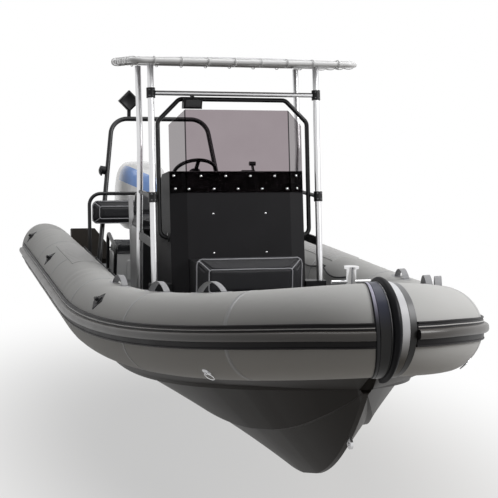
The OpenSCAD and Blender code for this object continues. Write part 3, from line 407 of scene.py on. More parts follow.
# Hull
# A deep-vee moulding in charcoal gelcoat that the tubes are glued to. Each side has a chine with a
# flat under it and one lifting strake, and the keel sweeps up into the stem. The bow locker's top
# and the cockpit sole are non-slip.
KEEL_DEPTH, FOREFOOT_X, STEM_X, STEM_Z, FOREFOOT_POWER = 0.500, 1.200, 3.110, 0.300, 3.65
CHINE_HALF, CHINE_DROP, CHINE_FLAT, LIFT_FLAT, KEEL_HALF = 0.960, 0.050, 0.080, 0.034, 0.015
CHINE_POWER_Y, CHINE_POWER_Z, CHINE_SHARE, FLAT_FALL = 3.2, 1.8, 0.52, 0.08
STEM_HALF, STEM_STEP = KEEL_HALF + 0.024, 0.025
DECK_Z, DECK_T, LOCKER_Z, LOCKER_T, SEAT_RIM = 0.160, 0.010, 0.400, 46, 0.002
TRANSOM_X, TRANSOM_RAKE, TRANSOM_T = -3.300, radians(12), 0.070
SEAT_GAP = 0.0009
SEAT_FIRST, SEAT_LAST, LAST_T = -145.5, -100.5, 87.7
HULL_RUN_X, DECK_END_T = -0.4, 39
last_x = bow_point(LAST_T).x


def keel_z(x):
    w = max(0, (x - FOREFOOT_X) / (STEM_X - FOREFOOT_X))
    return (KEEL_DEPTH + STEM_Z) * w**FOREFOOT_POWER - KEEL_DEPTH


def chine_y(x):
    u = min(1, max(0, x) / STEM_X)
    return max(STEM_HALF, CHINE_HALF * (1 - u**CHINE_POWER_Y))


def chine_z(x):
    u = min(1, max(0, x) / STEM_X)
    return (STEM_Z + STEM_STEP + CHINE_DROP) * u**CHINE_POWER_Z - CHINE_DROP


def hull_lines(s):
    """Strips of the port half section, from the deck's edge down to the keel."""
    x = s.middle.x
    if x > BOW_X:
        x = BOW_X + (x - BOW_X) * (STEM_X - BOW_X) / (last_x - BOW_X)
    yc, zc, zk = chine_y(x), chine_z(x), keel_z(x)
    flat = CHINE_FLAT * min(1, yc / (6 * CHINE_FLAT))
    yi = yc - flat
    ys = KEEL_HALF + (yi - KEEL_HALF) * CHINE_SHARE
    zs = zk + (zc - zk) * (ys - KEEL_HALF) / (yi - KEEL_HALF)
    out = min(LIFT_FLAT, (yi - ys) / 3)
    seat = [s.at(a, TUBE_R + SEAT_GAP) for a in spread(SEAT_FIRST, SEAT_LAST, 7)]
    top_z = min(LOCKER_Z, seat[0].z - SEAT_RIM) if s.turn >= LOCKER_T else DECK_Z - DECK_T
    top = Vector((seat[0].x, seat[0].y, top_z))
    side, chine = Vector((x, yc, zc + flat / 4)), Vector((x, yc, zc))
    inner = Vector((x, yi, zc - flat * FLAT_FALL))
    lift, step = Vector((x, ys + out, zs + out * FLAT_FALL)), Vector((x, ys, zs))
    keel = Vector((x, KEEL_HALF, zk))
    return [[Vector((top.x, 0, top_z)), top], [top, seat[0]], seat, [seat[-1], side], [side, chine],
            [chine, inner], [inner, lift], [lift, step], [step, keel], [keel, Vector((x, 0, zk))]]


def leaned(p):
    """The stern section leans with the transom."""
    return Vector((TRANSOM_X - p.z * tan(TRANSOM_RAKE) + TRANSOM_T / cos(TRANSOM_RAKE), p.y, p.z))


hull_gelcoat = Finish("hull_gelcoat", (0.022, 0.0188, 0.016), 0.42, (2.5, 0.85, 1.2, 0.12), gloss=0.14)
hull_gelcoat.bump(hull_gelcoat.noise(3, 2) + hull_gelcoat.noise(160, 2) * 0.05, 0.004, 0.25)
sole_gelcoat = Finish("sole_gelcoat", (0.27, 0.275, 0.28), 0.75, (4, 0.9, 1.08, 0.1), gloss=0.08)
sole_gelcoat.bump(sole_gelcoat.texture("Voronoi", 220), 0.0012, 0.7)
hull_turns = [*spread(0, DECK_END_T - 1, 40), DECK_END_T, *spread(LOCKER_T, LAST_T, 60)]
hull_runs = [along(x) for x in spread(CONE_X, HULL_RUN_X, 8)] + [bow(t) for t in hull_turns]
sections = [[[leaned(p) for p in strip] for strip in hull_lines(along(CONE_X))]]
sections += [hull_lines(s) for s in hull_runs]
hull = Moulding()
for mirror in SIDES.values():
    for k in range(len(sections[0])):
        hull.skin([[mirror(p) for p in section[k]] for section in sections], 1 if k == 0 else 0)
    stem = [p for strip in sections[-1][2:9] for p in strip]
    hull.skin([[mirror(p) for p in stem], [Vector((p.x, 0, p.z)) for p in stem]])
    stern = [p for strip in sections[0][1:9] for p in strip[:-1]] + [sections[0][8][-1]]
    hull.skin([[mirror(p) for p in stern], [Vector((p.x, 0, p.z)) for p in stern]])
fit(hull.release("hull_skin", hull_gelcoat, sole_gelcoat), "hull_gelcoat", "hull_shell")


EDGE_ANGLE, EDGE_STEPS = radians(32), 3


def dress(finish, edge, *names):
    """Gives carried-over solids their finish, and rounds their hard edges as a mould or a file does."""
    for name in names:
        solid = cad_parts[name]
        solid.data.materials.clear()
        solid.data.materials.append(finish.material)
        if edge:
            bevel = solid.modifiers.new("edge", "BEVEL")
            bevel.width, bevel.segments = edge, EDGE_STEPS
            bevel.limit_method, bevel.angle_limit = "ANGLE", EDGE_ANGLE


dress(hull_gelcoat, 0.008, "transom")
dress(sole_gelcoat, 0, "deck")

# Rub strakes
# Extruded rubber glued along each tube's widest line: a broad flat base with beaded edges, a fine
# raised line in its upper half that is painted pale as a painted highlight, and a half-round rail that takes
# the knocks.
STRAKE_MID, STRAKE_END_T, STRAKE_SHORT = 4.5, 84.95, 0.05
# Profile: angle from the strake's middle, height over the seat, finish of the strip that follows
STRAKE_LINES = [
    (-15.0, 0.0, 0), (-15.0, 0.006, 0), (-14.6, 0.012, 0), (-13.6, 0.014, 0), (-12.6, 0.012, 0),
    (-12.2, 0.008, 0), (-6.2, 0.008, 0), (-5.6, 0.012, 1), (-5.2, 0.024, 1), (-4.0, 0.032, 1),
    (-2.0, 0.0355, 1), (0.0, 0.036, 1), (2.0, 0.0355, 1), (4.0, 0.032, 1), (5.2, 0.024, 1), (5.6, 0.012, 1),
    (6.2, 0.008, 0), (8.2, 0.008, 2), (8.4, 0.0105, 2), (9.4, 0.0105, 2), (9.6, 0.008, 0), (12.2, 0.008, 0),
    (12.6, 0.012, 0), (13.6, 0.014, 0), (14.6, 0.012, 0), (15.0, 0.006, 0), (15.0, 0.0, 0),
]
on_tube = TUBE_R + SEAT_GAP
strake_rubber = Finish(
    "strake_rubber", (0.012, 0.011, 0.012), 0.45, (7, 0.75, 1.4, 0.18), (500, 0.0008, 0.3), gloss=0.12
)
rail_rubber = Finish(
    "rail_rubber", (0.042, 0.037, 0.033), 0.34, (5, 0.8, 1.25, 0.16), (260, 0.0008, 0.3), gloss=0.45
)
# The fine raised line's pale colour is a painted highlight on the dark rubber
strake_painted_glint = Finish("strake_painted_glint", (0.42, 0.41, 0.40), 0.35, (12, 0.9, 1.06, 0.1))
strake_runs = [along(x) for x in spread(CONE_X, BOW_X - STRAKE_SHORT, 14)]
strake_runs += [bow(t) for t in spread(0, STRAKE_END_T, 90)]
strakes = Moulding()
for mirror in SIDES.values():
    rings = [[mirror(s.at(STRAKE_MID + a, on_tube + h)) for a, h, _ in STRAKE_LINES] for s in strake_runs]
    for j, (_, _, slot) in enumerate(STRAKE_LINES[:-1]):
        strakes.skin([ring[j : j + 2] for ring in rings], slot)
    strakes.lid(rings[0]).lid(rings[-1])


def crisp(piece):
    """Keeps an extrusion's lengthwise edges sharp under smooth shading."""
    piece.modifiers.new("crisp", "EDGE_SPLIT").split_angle = radians(40)
    return piece


strakes = strakes.release("rub_strake_extrusions", strake_rubber, rail_rubber, strake_painted_glint, join=0.0001)
fit(crisp(strakes), "black_rubber", "rub_strakes")

# Bow band
# A rubber sheet wrapped over the nose to hide the tubes' joint, with strips along its borders whose
# brightness toward the top is a painted highlight, and a thick rib vulcanised round its middle that the boat
# noses up with.
RIB_T0, RIB_H, RIB_LIFT, RIB_POWER = 88.8, 0.030, 0.002, 0.35
BAND_FROM, BAND_TO, BAND_STEPS = -85.5, 184.5, 64
# How ragged the lower edge of the strips' painted highlight is
SHEEN_RAGGED = 0.08
# Strip of the band: first and last angle round the bow, counted on past the nose, height, finish
BAND_STRIPS = [
    (85.0, 85.25, 0.004, 0), (85.25, 85.95, 0.005, 1), (85.95, 88.45, 0.006, 2), (88.45, 88.65, 0.007, 3),
    (88.65, 88.9, 0.006, 0), (91.1, 91.3, 0.006, 0), (91.3, 93.3, 0.007, 4), (93.3, 95.0, 0.005, 5),
]
# Strip painted lighter toward the tube's top as a painted highlight: colour above and below, shares of the
# tube's height between
BAND_PAINTED_SHEEN = {
    "band_lilac": ((0.36, 0.35, 0.44), (0.010, 0.010, 0.012), 0.62, 0.96),
    "band_navy": ((0.024, 0.027, 0.050), (0.011, 0.0105, 0.0105), 0.55, 0.95),
    "band_line": ((0.42, 0.42, 0.43), (0.012, 0.012, 0.012), 0.44, 0.70),
    "band_silver": ((0.62, 0.62, 0.64), (0.060, 0.052, 0.040), 0.22, 0.62),
    "band_edge": ((0.16, 0.16, 0.165), (0.013, 0.0125, 0.012), 0.50, 0.98),
}
band_black = Finish("band_black", (0.006, 0.006, 0.0075), 0.38, (9, 0.7, 1.5, 0.15), gloss=0.08)
NOSE_LOW, NOSE_HIGH = (bow(90).at(STRAKE_MID + turn, TUBE_R).z for turn in (-90, 90))
band_finishes = [band_black]
# Each strip's colour goes from dark below to light above over the tube's height: a painted highlight
for name, (above, below, low, high) in BAND_PAINTED_SHEEN.items():
    strip_rubber = Finish(name, above, 0.30, gloss=0.25)
    height = (strip_rubber.place.axes()[2] - NOSE_LOW) / (NOSE_HIGH - NOSE_LOW)
    share = height + (strip_rubber.noise(7) - 0.5) * SHEEN_RAGGED
    strip_rubber.feed("Base Color", strip_rubber.blend(share.ease(low, high), below, above))
    strip_rubber.feed("Roughness", strip_rubber.noise(9) * 0.14 + 0.25)
    band_finishes.append(strip_rubber)


def over_nose(t, angle, radius):
    """Point over the bow: angles below 90 lie to starboard, those above it to port."""
    p = bow(t if t <= 90 else 180 - t).at(angle, radius)
    return mirrored_y(p) if t < 90 else p


def rounded_step(first, last, height, edge=0.05):
    """Angle and height pairs of a strip with rolled edges."""
    w = last - first
    return [(first, 0), (first + edge * w * 0.3, height * 0.7), (first + edge * w, height),
            (last - edge * w, height), (last - edge * w * 0.3, height * 0.7), (last, 0)]


band_angles = spread(BAND_FROM, BAND_TO, BAND_STEPS)
band = Moulding()
for first, last, height, slot in BAND_STRIPS:
    strip = rounded_step(first, last, height)
    band.skin([[over_nose(t, a, on_tube + h) for t, h in strip] for a in band_angles], slot)
fit(crisp(band.release("bow_band_sheet", *band_finishes)), "black_rubber", "bow_band")
profile = []
for f in spread(0, 1, 15):
    profile.append((RIB_T0 + (180 - 2 * RIB_T0) * f, RIB_LIFT + RIB_H * sin(pi * f) ** RIB_POWER))
rows = [[over_nose(t, a, on_tube + h) for t, h in profile] for a in band_angles]
rib = Moulding().skin(rows).lid(rows[0]).lid(rows[-1])
fit(rib.release("bow_rib_moulding", band_black), "black_rubber", "bow_rib")

# Handles
# Webbing carry straps on the tubes' shoulders. Each is sewn through a moulded patch at both ends
# and stands up in a loop that a hand goes through.
HANDLE_TURNS = [(12.0, 17.0), (28.0, 33.2), (43.0, 49.4)]
HANDLE_TOP = STRAKE_MID + 90
STRAP_W, STRAP_T, STRAP_H, STRAP_POWER = 0.042, 0.005, 0.060, 0.8
# Patch under each end: half width and reach in degrees, thickness
TAB_HALF, TAB_REACH, TAB_T = 7.5, 2.2, 0.003
webbing = Finish("webbing", (0.30, 0.30, 0.31), 0.75, (30, 0.8, 1.15, 0.1), Sheen_Weight=0.3)
webbing.bump(webbing.texture("Wave", 150, {"bands_direction": "DIAGONAL"}, Distortion=1), 0.001, 0.6)
patch_fabric = Finish("patch_fabric", (0.30, 0.302, 0.31), 0.5, (12, 0.9, 1.1, 0.1))


def lay(sheet, rows):
    """Lays a sheet on both tubes: each row is a station with its angle and height pairs."""
    for mirror in SIDES.values():
        sheet.skin([[mirror(s.at(a, TUBE_R + h)) for a, h in line] for s, line in rows])


straps, tabs = Moulding(), Moulding()
for first, last in HANDLE_TURNS:
    edges = [[] for _ in range(4)]
    for f in spread(0, 1, 25):
        s = bow(first + (last - first) * f)
        rise = SUNK + STRAP_H * sin(pi * f) ** STRAP_POWER
        for edge, (u, v) in zip(edges, ((-1, 0), (-1, 1), (1, 1), (1, 0))):
            half = degrees(u * STRAP_W / 2 / TUBE_R)
            lean = s.at(HANDLE_TOP, TUBE_R + rise + v * STRAP_T) - s.at(HANDLE_TOP, TUBE_R)
            edge.append(s.at(HANDLE_TOP + half, TUBE_R) + lean)
    for mirror in SIDES.values():
        for edge, following in zip(edges, edges[1:] + edges[:1]):
            straps.skin([[mirror(p), mirror(q)] for p, q in zip(edge, following)])
    # Each patch tapers away from the loop
    for end, way in ((first, -1), (last, 1)):
        rows = []
        for f in spread(-0.6, 1, 12):
            half = TAB_HALF * sqrt(max(0.02, 1 - max(0, f) ** 2 * 0.96))
            line = [(HANDLE_TOP + g * half, TAB_T * (1 - abs(g) ** 6) - SUNK / 2) for g in spread(-1, 1, 9)]
            rows.append((bow(end + way * f * TAB_REACH), line))
        lay(tabs, rows)
fit(straps.release("handle_straps", webbing), "webbing", "tube_handles")
fit(tabs.release("handle_patches", patch_fabric), "tube_fabric")

# Lifelines
# A rope along the inner side of each tube, held at small sewn pads and hanging in shallow swags
# between them. It is one length of braided cord a side, made fast at its first and last pad.
LINE_X = (-1.700, -1.000, -0.300, 0.340)
LINE_D, LINE_ANGLE, LINE_DROOP, LINE_PAD = 0.014, STRAKE_MID + 135, 11, 0.0056
# Pad and its loop: half length, half width in degrees, height of the rim and of the top
LINE_TABS = [(0.030, 3.4, -SUNK, 0.005), (0.012, 2.6, 0.004, LINE_PAD + LINE_D + 0.003)]
rope = Finish("rope", (0.055, 0.055, 0.058), 0.8, (60, 0.6, 1.6, 0.1))
rope.bump(rope.texture("Wave", 60, {"bands_direction": "DIAGONAL"}), 0.002, 0.8)
line_r = TUBE_R + LINE_PAD + LINE_D / 2
swags = []
for a, b in zip(LINE_X, LINE_X[1:]):
    for f in spread(0, 1, 13)[:-1]:
        swags.append(along(a + (b - a) * f).at(LINE_ANGLE + LINE_DROOP * sin(pi * f), line_r))
swags.append(along(LINE_X[-1]).at(LINE_ANGLE, line_r))
for side, mirror in SIDES.items():
    route = [mirror(p) for p in swags]
    line = Moulding().pipe(route, LINE_D, 10).release(f"lifeline_{side}", rope)
    fit(line, "rope", *(["lifelines"] if side == "port" else []))
line_pads = Moulding()
for x, (half_x, half_a, rim, top) in product(LINE_X, LINE_TABS):
    rows = []
    for u, h in ((-1, rim), (-0.9, top), (0.9, top), (1, rim)):
        line = [(LINE_ANGLE + v * half_a, k) for v, k in ((-1, rim), (-0.8, h), (0.8, h), (1, rim))]
        rows.append((along(x + u * half_x), line))
    lay(line_pads, rows)
fit(line_pads.release("lifeline_pads", strake_rubber), "black_rubber")

# Tube fittings
# Moulded rubber cleats on the shoulders, pale ribbed step pads glued over the tops, steel towing
# rings under the bow, and the lugs that a shackle goes through.
cleat_rubber = Finish("cleat_rubber", (0.014, 0.014, 0.015), 0.45, (40, 0.7, 1.6, 0.2), gloss=0.12)
bright_steel = Finish("bright_steel", (0.62, 0.62, 0.63), 0.18, (25, 0.9, 1.08, 0.12), Metallic=1.0)
dress(cleat_rubber, 0.003, "tube_cleats")
dress(bright_steel, 0, "tow_rings")
dress(bright_steel, 0.003, "towing_eyes")
# Diamond patch under each cleat: how the tube runs there, place and half length along it
CLEAT_ANGLE, PATCH_ANGLE, PATCH_T = 42, 16, 0.004
CLEAT_SPOTS = [(along, -2.650, 0.080), (along, -1.080, 0.080), (bow, 18.4, 1.7)]
patches = Moulding()
for station, middle, half in CLEAT_SPOTS:
    rows = []
    for u in (-1, -0.96, -0.6, -0.3, 0, 0.3, 0.6, 0.96, 1):
        width, lift = PATCH_ANGLE * max(1 - abs(u), 0.03), PATCH_T if abs(u) < 1 else -SUNK
        inner = [(CLEAT_ANGLE + v * width, lift) for v in (-0.94, -0.4, 0, 0.4, 0.94)]
        rim = [(CLEAT_ANGLE + v * width, -SUNK) for v in (-1, 1)]
        rows.append((station(middle + u * half), [rim[0], *inner, rim[1]]))
    lay(patches, rows)
fit(patches.release("cleat_patches", cleat_rubber, smooth=False), "black_rubber")
# Step pad: ends along the boat, edges round the tube, and its ribs with the groove between them
PAD_REAR, PAD_FRONT, PAD_FIRST, PAD_LAST = -1.350, -0.250, 66.5, 122.5
PAD_RIBS, PAD_T, GROOVE_T, GROOVE_SHARE, RIB_SLOPE = 15, 0.005, 0.0028, 0.08, 0.002
pad_rubber = Finish("pad_rubber", (0.46, 0.455, 0.45), 0.65, (8, 0.9, 1.06, 0.1), (400, 0.0008, 0.4))
heights = [(PAD_REAR, -SUNK)]
for k in range(PAD_RIBS):
    ends = (k + GROOVE_SHARE, k + 1 - GROOVE_SHARE)
    a, b = (PAD_REAR + (PAD_FRONT - PAD_REAR) * end / PAD_RIBS for end in ends)
    heights += [(a - RIB_SLOPE, GROOVE_T), (a, PAD_T), (b, PAD_T), (b + RIB_SLOPE, GROOVE_T)]
heights.append((PAD_FRONT, -SUNK))
rows = []
for x, h in heights:
    inner = [(a, h) for a in spread(PAD_FIRST + 1, PAD_LAST - 1, 15)]
    rows.append((along(x), [(PAD_FIRST, -SUNK), *inner, (PAD_LAST, -SUNK)]))
pads = Moulding()
lay(pads, rows)
fit(pads.release("step_pad_sheets", pad_rubber, smooth=False), "pale_pad", "step_pads")

# Bow post
# A polished stainless mooring post on the bow locker, capped and crossed by a pin. Its foot is
# bolted down through the locker's top.
mirror_steel = Finish("mirror_steel", (0.74, 0.74, 0.75), 0.10, (20, 0.93, 1.05, 0.08), Metallic=1.0)
dress(mirror_steel, 0.003, "bow_post")

# Console
# A charcoal moulding with a raked front, chamfered corners, a footwell in its back and a sloped
# dash. Bright dome screws hold its inner frame, and the dash carries a display, dials and switches.
FRONT_X, RAKE, FRONT_HALF = 0.482, radians(9.5), 0.400
DASH_TOP, DASH_SLOPE = Vector((-0.040, 0, 1.290)), atan2(0.160, 0.198)
WING = radians(25)
# Screws in the face: distance from the middle, heights, radius
FACE_SCREW_Y, FACE_SCREW_ZS, FACE_SCREW_R = 0.203, (1.022, 0.732), 0.007
# On the dash: middles down the slope and across it of the display, the switches and the dials
DISPLAY, SWITCH_DOWN, SWITCH_Y, SWITCH_STEP, SWITCHES = (0.085, 0.09), 0.185, -0.02, 0.044, 6
DIAL_DOWN, DIAL_YS = 0.045, (-0.405, -0.315, -0.145, -0.055)
# Bezel and glass of a dial: radius and height pairs
BEZEL = [(0.038, -SUNK), (0.038, 0.010), (0.034, 0.014), (0.030, 0.012), (0.030, 0.008), (0, 0.008)]
DIAL_GLASS = [(0.030, 0.0085), (0, 0.0095)]
console_gelcoat = Finish(
    "console_gelcoat", (0.013, 0.0125, 0.0138), 0.48, (3, 0.8, 1.3, 0.15), (350, 0.0005, 0.4), gloss=0.10
)
dress(console_gelcoat, 0.012, "console")
dial_black = Finish("dial_black", (0.012, 0.012, 0.013), 0.3, (30, 0.7, 1.4, 0.1))
display_glass = Finish("display_glass", (0.010, 0.014, 0.020), 0.08, (5, 0.6, 1.5, 0.04), Coat_Weight=0.6)


def on_front(y, z, lift=0.0):
    """Point on the console's raked front, or on its chamfered corner past the flat."""
    x = FRONT_X - (z - DECK_Z) * tan(RAKE) + lift
    return Vector((x - max(0, abs(y) - FRONT_HALF) * tan(WING), y, z))


def on_dash(down, y, lift=0.0):
    """Point on the sloped dash, by distance down the slope."""
    x = DASH_TOP.x - down * cos(DASH_SLOPE) - lift * sin(DASH_SLOPE)
    return Vector((x, y, DASH_TOP.z - down * sin(DASH_SLOPE) + lift * cos(DASH_SLOPE)))


def turned(moulding, foot, way, profile, sides=20, slot=0):
    """Adds a turned shape: radius and height pairs along a direction."""
    way = Vector(way).normalized()
    side = way.orthogonal().normalized()
    spokes = circle(side, way.cross(side), sides)
    return moulding.skin([[foot + way * h + r * spoke for spoke in spokes] for r, h in profile], slot, True)


def dome(moulding, foot, way, radius, slot=0):
    """Adds a dome-headed screw on its washer."""
    washer = [(radius * 1.3, -SUNK), (radius * 1.3, radius * 0.15), (radius, radius * 0.2)]
    head = [(radius * cos(a), radius * (0.2 + 0.55 * sin(a))) for a in spread(0.1, 1.5, 5)]
    return turned(moulding, foot, way, washer + head + [(0, radius * 0.75)], 14, slot)


def arcs(half_u, half_v, radius, grow=0.0):
    """The round corners of a rectangle, as four lists of points."""
    found, r = [], max(0, radius + grow)
    for cu, cv, first in ((1, 1, 0), (-1, 1, 90), (-1, -1, 180), (1, -1, 270)):
        u, v = cu * (half_u - radius), cv * (half_v - radius)
        turn = [radians(a) for a in spread(first, first + 90, 6)]
        found.append([(u + r * cos(a), v + r * sin(a)) for a in turn])
    return found


def panel(moulding, place, half_u, half_v, depth, radius, slot=0):
    """Adds a slab with round corners and a rolled edge; place(u, v, h) gives its points."""
    rows = []
    for grow, h in ((0, -SUNK), (0, depth * 0.7), (-depth * 0.3, depth), (-radius * 0.7, depth)):
        rows.append([place(u, v, h) for arc in arcs(half_u, half_v, radius, grow) for u, v in arc])
    return moulding.skin(rows, slot, True).lid(rows[-1], slot)


def dash_panel(down, y, lift, *form):
    panel(dash, lambda u, v, h: on_dash(down + u, y + v, lift + h), *form)


face_way = (cos(RAKE), 0, sin(RAKE))
screws = Moulding()
for z, y in product(FACE_SCREW_ZS, (-FACE_SCREW_Y, FACE_SCREW_Y)):
    dome(screws, on_front(y, z), face_way, FACE_SCREW_R)
fit(screws.release("console_screws", bright_steel), "steel")
dash = Moulding()
dash_panel(*DISPLAY, 0, 0.070, 0.115, 0.012, 0.012)
dash_panel(DISPLAY[0] - 0.003, DISPLAY[1], 0.0125, 0.054, 0.098, 0.001, 0.006, 1)
for k in range(SWITCHES):
    dash_panel(SWITCH_DOWN, SWITCH_Y + SWITCH_STEP * k, 0, 0.016, 0.017, 0.008, 0.004)
    dash_panel(SWITCH_DOWN, SWITCH_Y + SWITCH_STEP * k, 0.007, 0.011, 0.010, 0.006, 0.003, 1)
for y in DIAL_YS:
    foot = on_dash(DIAL_DOWN, y)
    up = on_dash(DIAL_DOWN, y, 1) - foot
    turned(dash, foot, up, BEZEL, 28)
    turned(dash, foot, up, DIAL_GLASS, 28, 1)
fit(dash.release("dash_instruments", dial_black, display_glass), "control_plastic")

# Windscreen
# A sheet of smoked acrylic folded back at both sides, on the console's front. A row of screws
# with bright heads holds its lower edge, and another the console's top above the dash.
SCREEN_LIFT, SCREEN_SCREW_R = 0.0065, 0.008
# Rows of screws: height, places across
SCREEN_SCREWS = [
    (1.300, (-0.49, -0.29, -0.10, 0.09, 0.28, 0.46)),
    (1.205, (-0.48, -0.384, -0.193, -0.007, 0.18, 0.377, 0.466)),
]
smoked = Finish(
    "smoked_acrylic", (0.325, 0.28, 0.297), 0.03, gloss=0.15, IOR=1.06, Transmission_Weight=1.0
)
cloudy, breadth = smoked.noise(6, 2), abs(smoked.place.axes()[1])
# A dark line is painted along each fold of the sheet: painted shade at the bend
painted_fold_shade = (breadth > FRONT_HALF - 0.003) * (breadth < FRONT_HALF + 0.006)
tint = smoked.blend(cloudy, (0.310, 0.266, 0.283), (0.345, 0.300, 0.317))
# The folded-back wings are painted paler than the middle: painted light on a sheet of one tint
tint = smoked.blend(breadth > FRONT_HALF, tint, (0.345, 0.325, 0.332))
smoked.feed("Base Color", smoked.blend(painted_fold_shade, tint, (0.05, 0.045, 0.048)))
smoked.feed("Roughness", cloudy * 0.02 + 0.02)
dress(smoked, 0, "windscreen")
screen_screws = Moulding()
for z, places in SCREEN_SCREWS:
    for y in places:
        turn = copysign(WING, y) if abs(y) > FRONT_HALF else 0
        way = (cos(RAKE) * cos(turn), sin(turn), sin(RAKE))
        dome(screen_screws, on_front(y, z, SCREEN_LIFT), way, SCREEN_SCREW_R)
fit(screen_screws.release("screen_screws", bright_steel), "steel")

# Console hoop
# A bent black tube that stands on the console's sides and passes over the screen as a handhold.
# Round flanges with screws spread its load.
HOOP_D, HOOP_X, HOOP_BEND_Z, LEG_LEAN, HOOP_BEND = 0.034, 0.104, 1.698, 0.1464, 0.060
# Port half, foot first: distance from the middle, height
HOOP_HALF = [(0.5205, 0.835), (0.586, 0.835), (0.586, HOOP_BEND_Z), (0.416, 1.866)]
HOOP_FLANGE = [(0.036, 0), (0.036, 0.005), (0.030, 0.008), (HOOP_D / 2, 0.010)]
FLANGE_SCREW_R = 0.004
tube_black = Finish("tube_black", (0.007, 0.007, 0.008), 0.30, (10, 0.7, 1.5, 0.12), gloss=0.35)


def bent(points, radius, steps=8):
    """Path with each inner corner turned on a radius."""
    points = [Vector(p) for p in points]
    route = [points[0]]
    for a, b, c in zip(points, points[1:], points[2:]):
        u, v = (a - b).normalized(), (c - b).normalized()
        half = u.angle(v) / 2
        centre = b + (u + v).normalized() * radius / sin(half)
        d, e = (b + w * radius / tan(half) - centre for w in (u, v))
        turn = d.angle(e)
        for f in spread(0, 1, steps):
            route.append(centre + (sin(turn * (1 - f)) * d + sin(turn * f) * e) / sin(turn))
    return route + [points[-1]]


def over_and_back(half):
    """Whole path across the boat from its port half, foot first."""
    return [Vector(p) for p in half] + [mirrored_y(p) for p in reversed(half)]


def screw_ring(moulding, foot, way, radius, lift):
    """Adds four small screws round a flange."""
    side = way.orthogonal().normalized()
    for spoke in circle(side, way.cross(side), 4):
        dome(moulding, foot + way * lift + spoke * radius, way, FLANGE_SCREW_R)


hoop_half = [Vector((HOOP_X - (z - HOOP_BEND_Z) * LEG_LEAN, y, z)) for y, z in HOOP_HALF]
hoop = Moulding().pipe(bent(over_and_back(hoop_half), HOOP_BEND), HOOP_D, 20)
for mirror in SIDES.values():
    foot, out = mirror(hoop_half[0]), mirror((0, 1, 0))
    turned(hoop, foot, out, HOOP_FLANGE)
    screw_ring(hoop, foot, out, 0.027, 0.007)
fit(hoop.release("hoop_tube", tube_black), "black_tube", "console_hoop")

# Front seat
# A moulded locker ahead of the console with a foam seat and back, covered in black vinyl. The
# back's raised panel and its sloped borders are sewn with pale piping along every seam.
SEAT_HALF, BACK_X, BACK_LOW, BACK_HIGH = 0.415, 0.640, 0.392, 0.742
BACK_PANEL_Y, BACK_PANEL_Z = 0.315, 0.083
PIPING_D = 0.009
# Cloth: pressure from inside, steps; distance between the places where a seam holds the cover
PRESSURE, CLOTH_STEPS, STITCH = 4.0, 20, 0.006
seat_gelcoat = Finish(
    "seat_gelcoat", (0.012, 0.012, 0.013), 0.45, (4, 0.8, 1.3, 0.15), (350, 0.0005, 0.4), gloss=0.22
)
dress(seat_gelcoat, 0.010, "front_seat_box")


def vinyl_finish(name, color):
    """Grained, slightly glossy upholstery vinyl."""
    finish = Finish(name, color, 0.42, (9, 0.75, 1.35, 0.16), gloss=0.28)
    grain = finish.texture("Voronoi", 260, {"feature": "DISTANCE_TO_EDGE"})
    finish.bump(grain.ease(0.0, 0.25) + finish.noise(6, 2) * 3, 0.0010, 0.5)
    return finish


black_vinyl = vinyl_finish("black_vinyl", (0.009, 0.009, 0.011))
pale_piping = vinyl_finish("pale_piping", (0.34, 0.34, 0.36))
dark_piping = vinyl_finish("dark_piping", (0.030, 0.030, 0.033))


def settle(piece):
    """Turns what the modifiers show into the piece's own mesh."""
    shown = piece.evaluated_get(bpy.context.evaluated_depsgraph_get())
    made = bpy.data.meshes.new_from_object(shown)
    piece.modifiers.clear()
    piece.data = made


def upholster(name, node, rests, cap, finish, trim=0.010, voxel=0.008):
    """Blows a cover up from a slightly smaller copy of its plain solid; the side that rests stays flat."""
    piece = put(name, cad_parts[node].data.copy())
    low, high = (Vector(corner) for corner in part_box(node))
    size, rests = high - low, Vector(rests)
    seat = Vector([(h + l) / 2 + r * s / 2 for l, h, r, s in zip(low, high, rests, size)])
    smaller = [1 - (1 if r else 2) * trim / s for r, s in zip(rests, size)]
    for v in piece.data.vertices:
        v.co = seat + Vector([d * share for d, share in zip(v.co - seat, smaller)])
    remesh = piece.modifiers.new("remesh", "REMESH")
    remesh.mode, remesh.voxel_size = "VOXEL", voxel
    settle(piece)
    held = piece.vertex_groups.new(name="held")
    held.add([v.index for v in piece.data.vertices if (v.co - seat).dot(rests) > -voxel], 1.0, "REPLACE")
    cut = [v.co.copy() for v in piece.data.vertices]
    cloth = piece.modifiers.new("cloth", "CLOTH")
    cloth.settings.use_pressure, cloth.settings.uniform_pressure_force = True, PRESSURE
    cloth.settings.effector_weights.gravity = 0
    cloth.settings.vertex_group_mass = held.name
    cloth.collision_settings.use_collision = False
    for step in range(1, CLOTH_STEPS + 1):
        scene.frame_set(step)
    settle(piece)
    scene.frame_set(1)
    for v, was in zip(piece.data.vertices, cut):
        move = v.co - was
        v.co = was + move * min(1, cap / max(move.length, 1e-6))
    fine = piece.modifiers.new("fine", "SUBSURF")
    fine.levels = fine.render_levels = 1
    settle(piece)
    piece.data.materials.clear()
    piece.data.materials.append(finish.material)
    piece.data.polygons.foreach_set("use_smooth", [True] * len(piece.data.polygons))
    return piece


def tree_of(piece):
    mesh = piece.data
    return BVHTree.FromPolygons([v.co for v in mesh.vertices], [p.vertices for p in mesh.polygons])


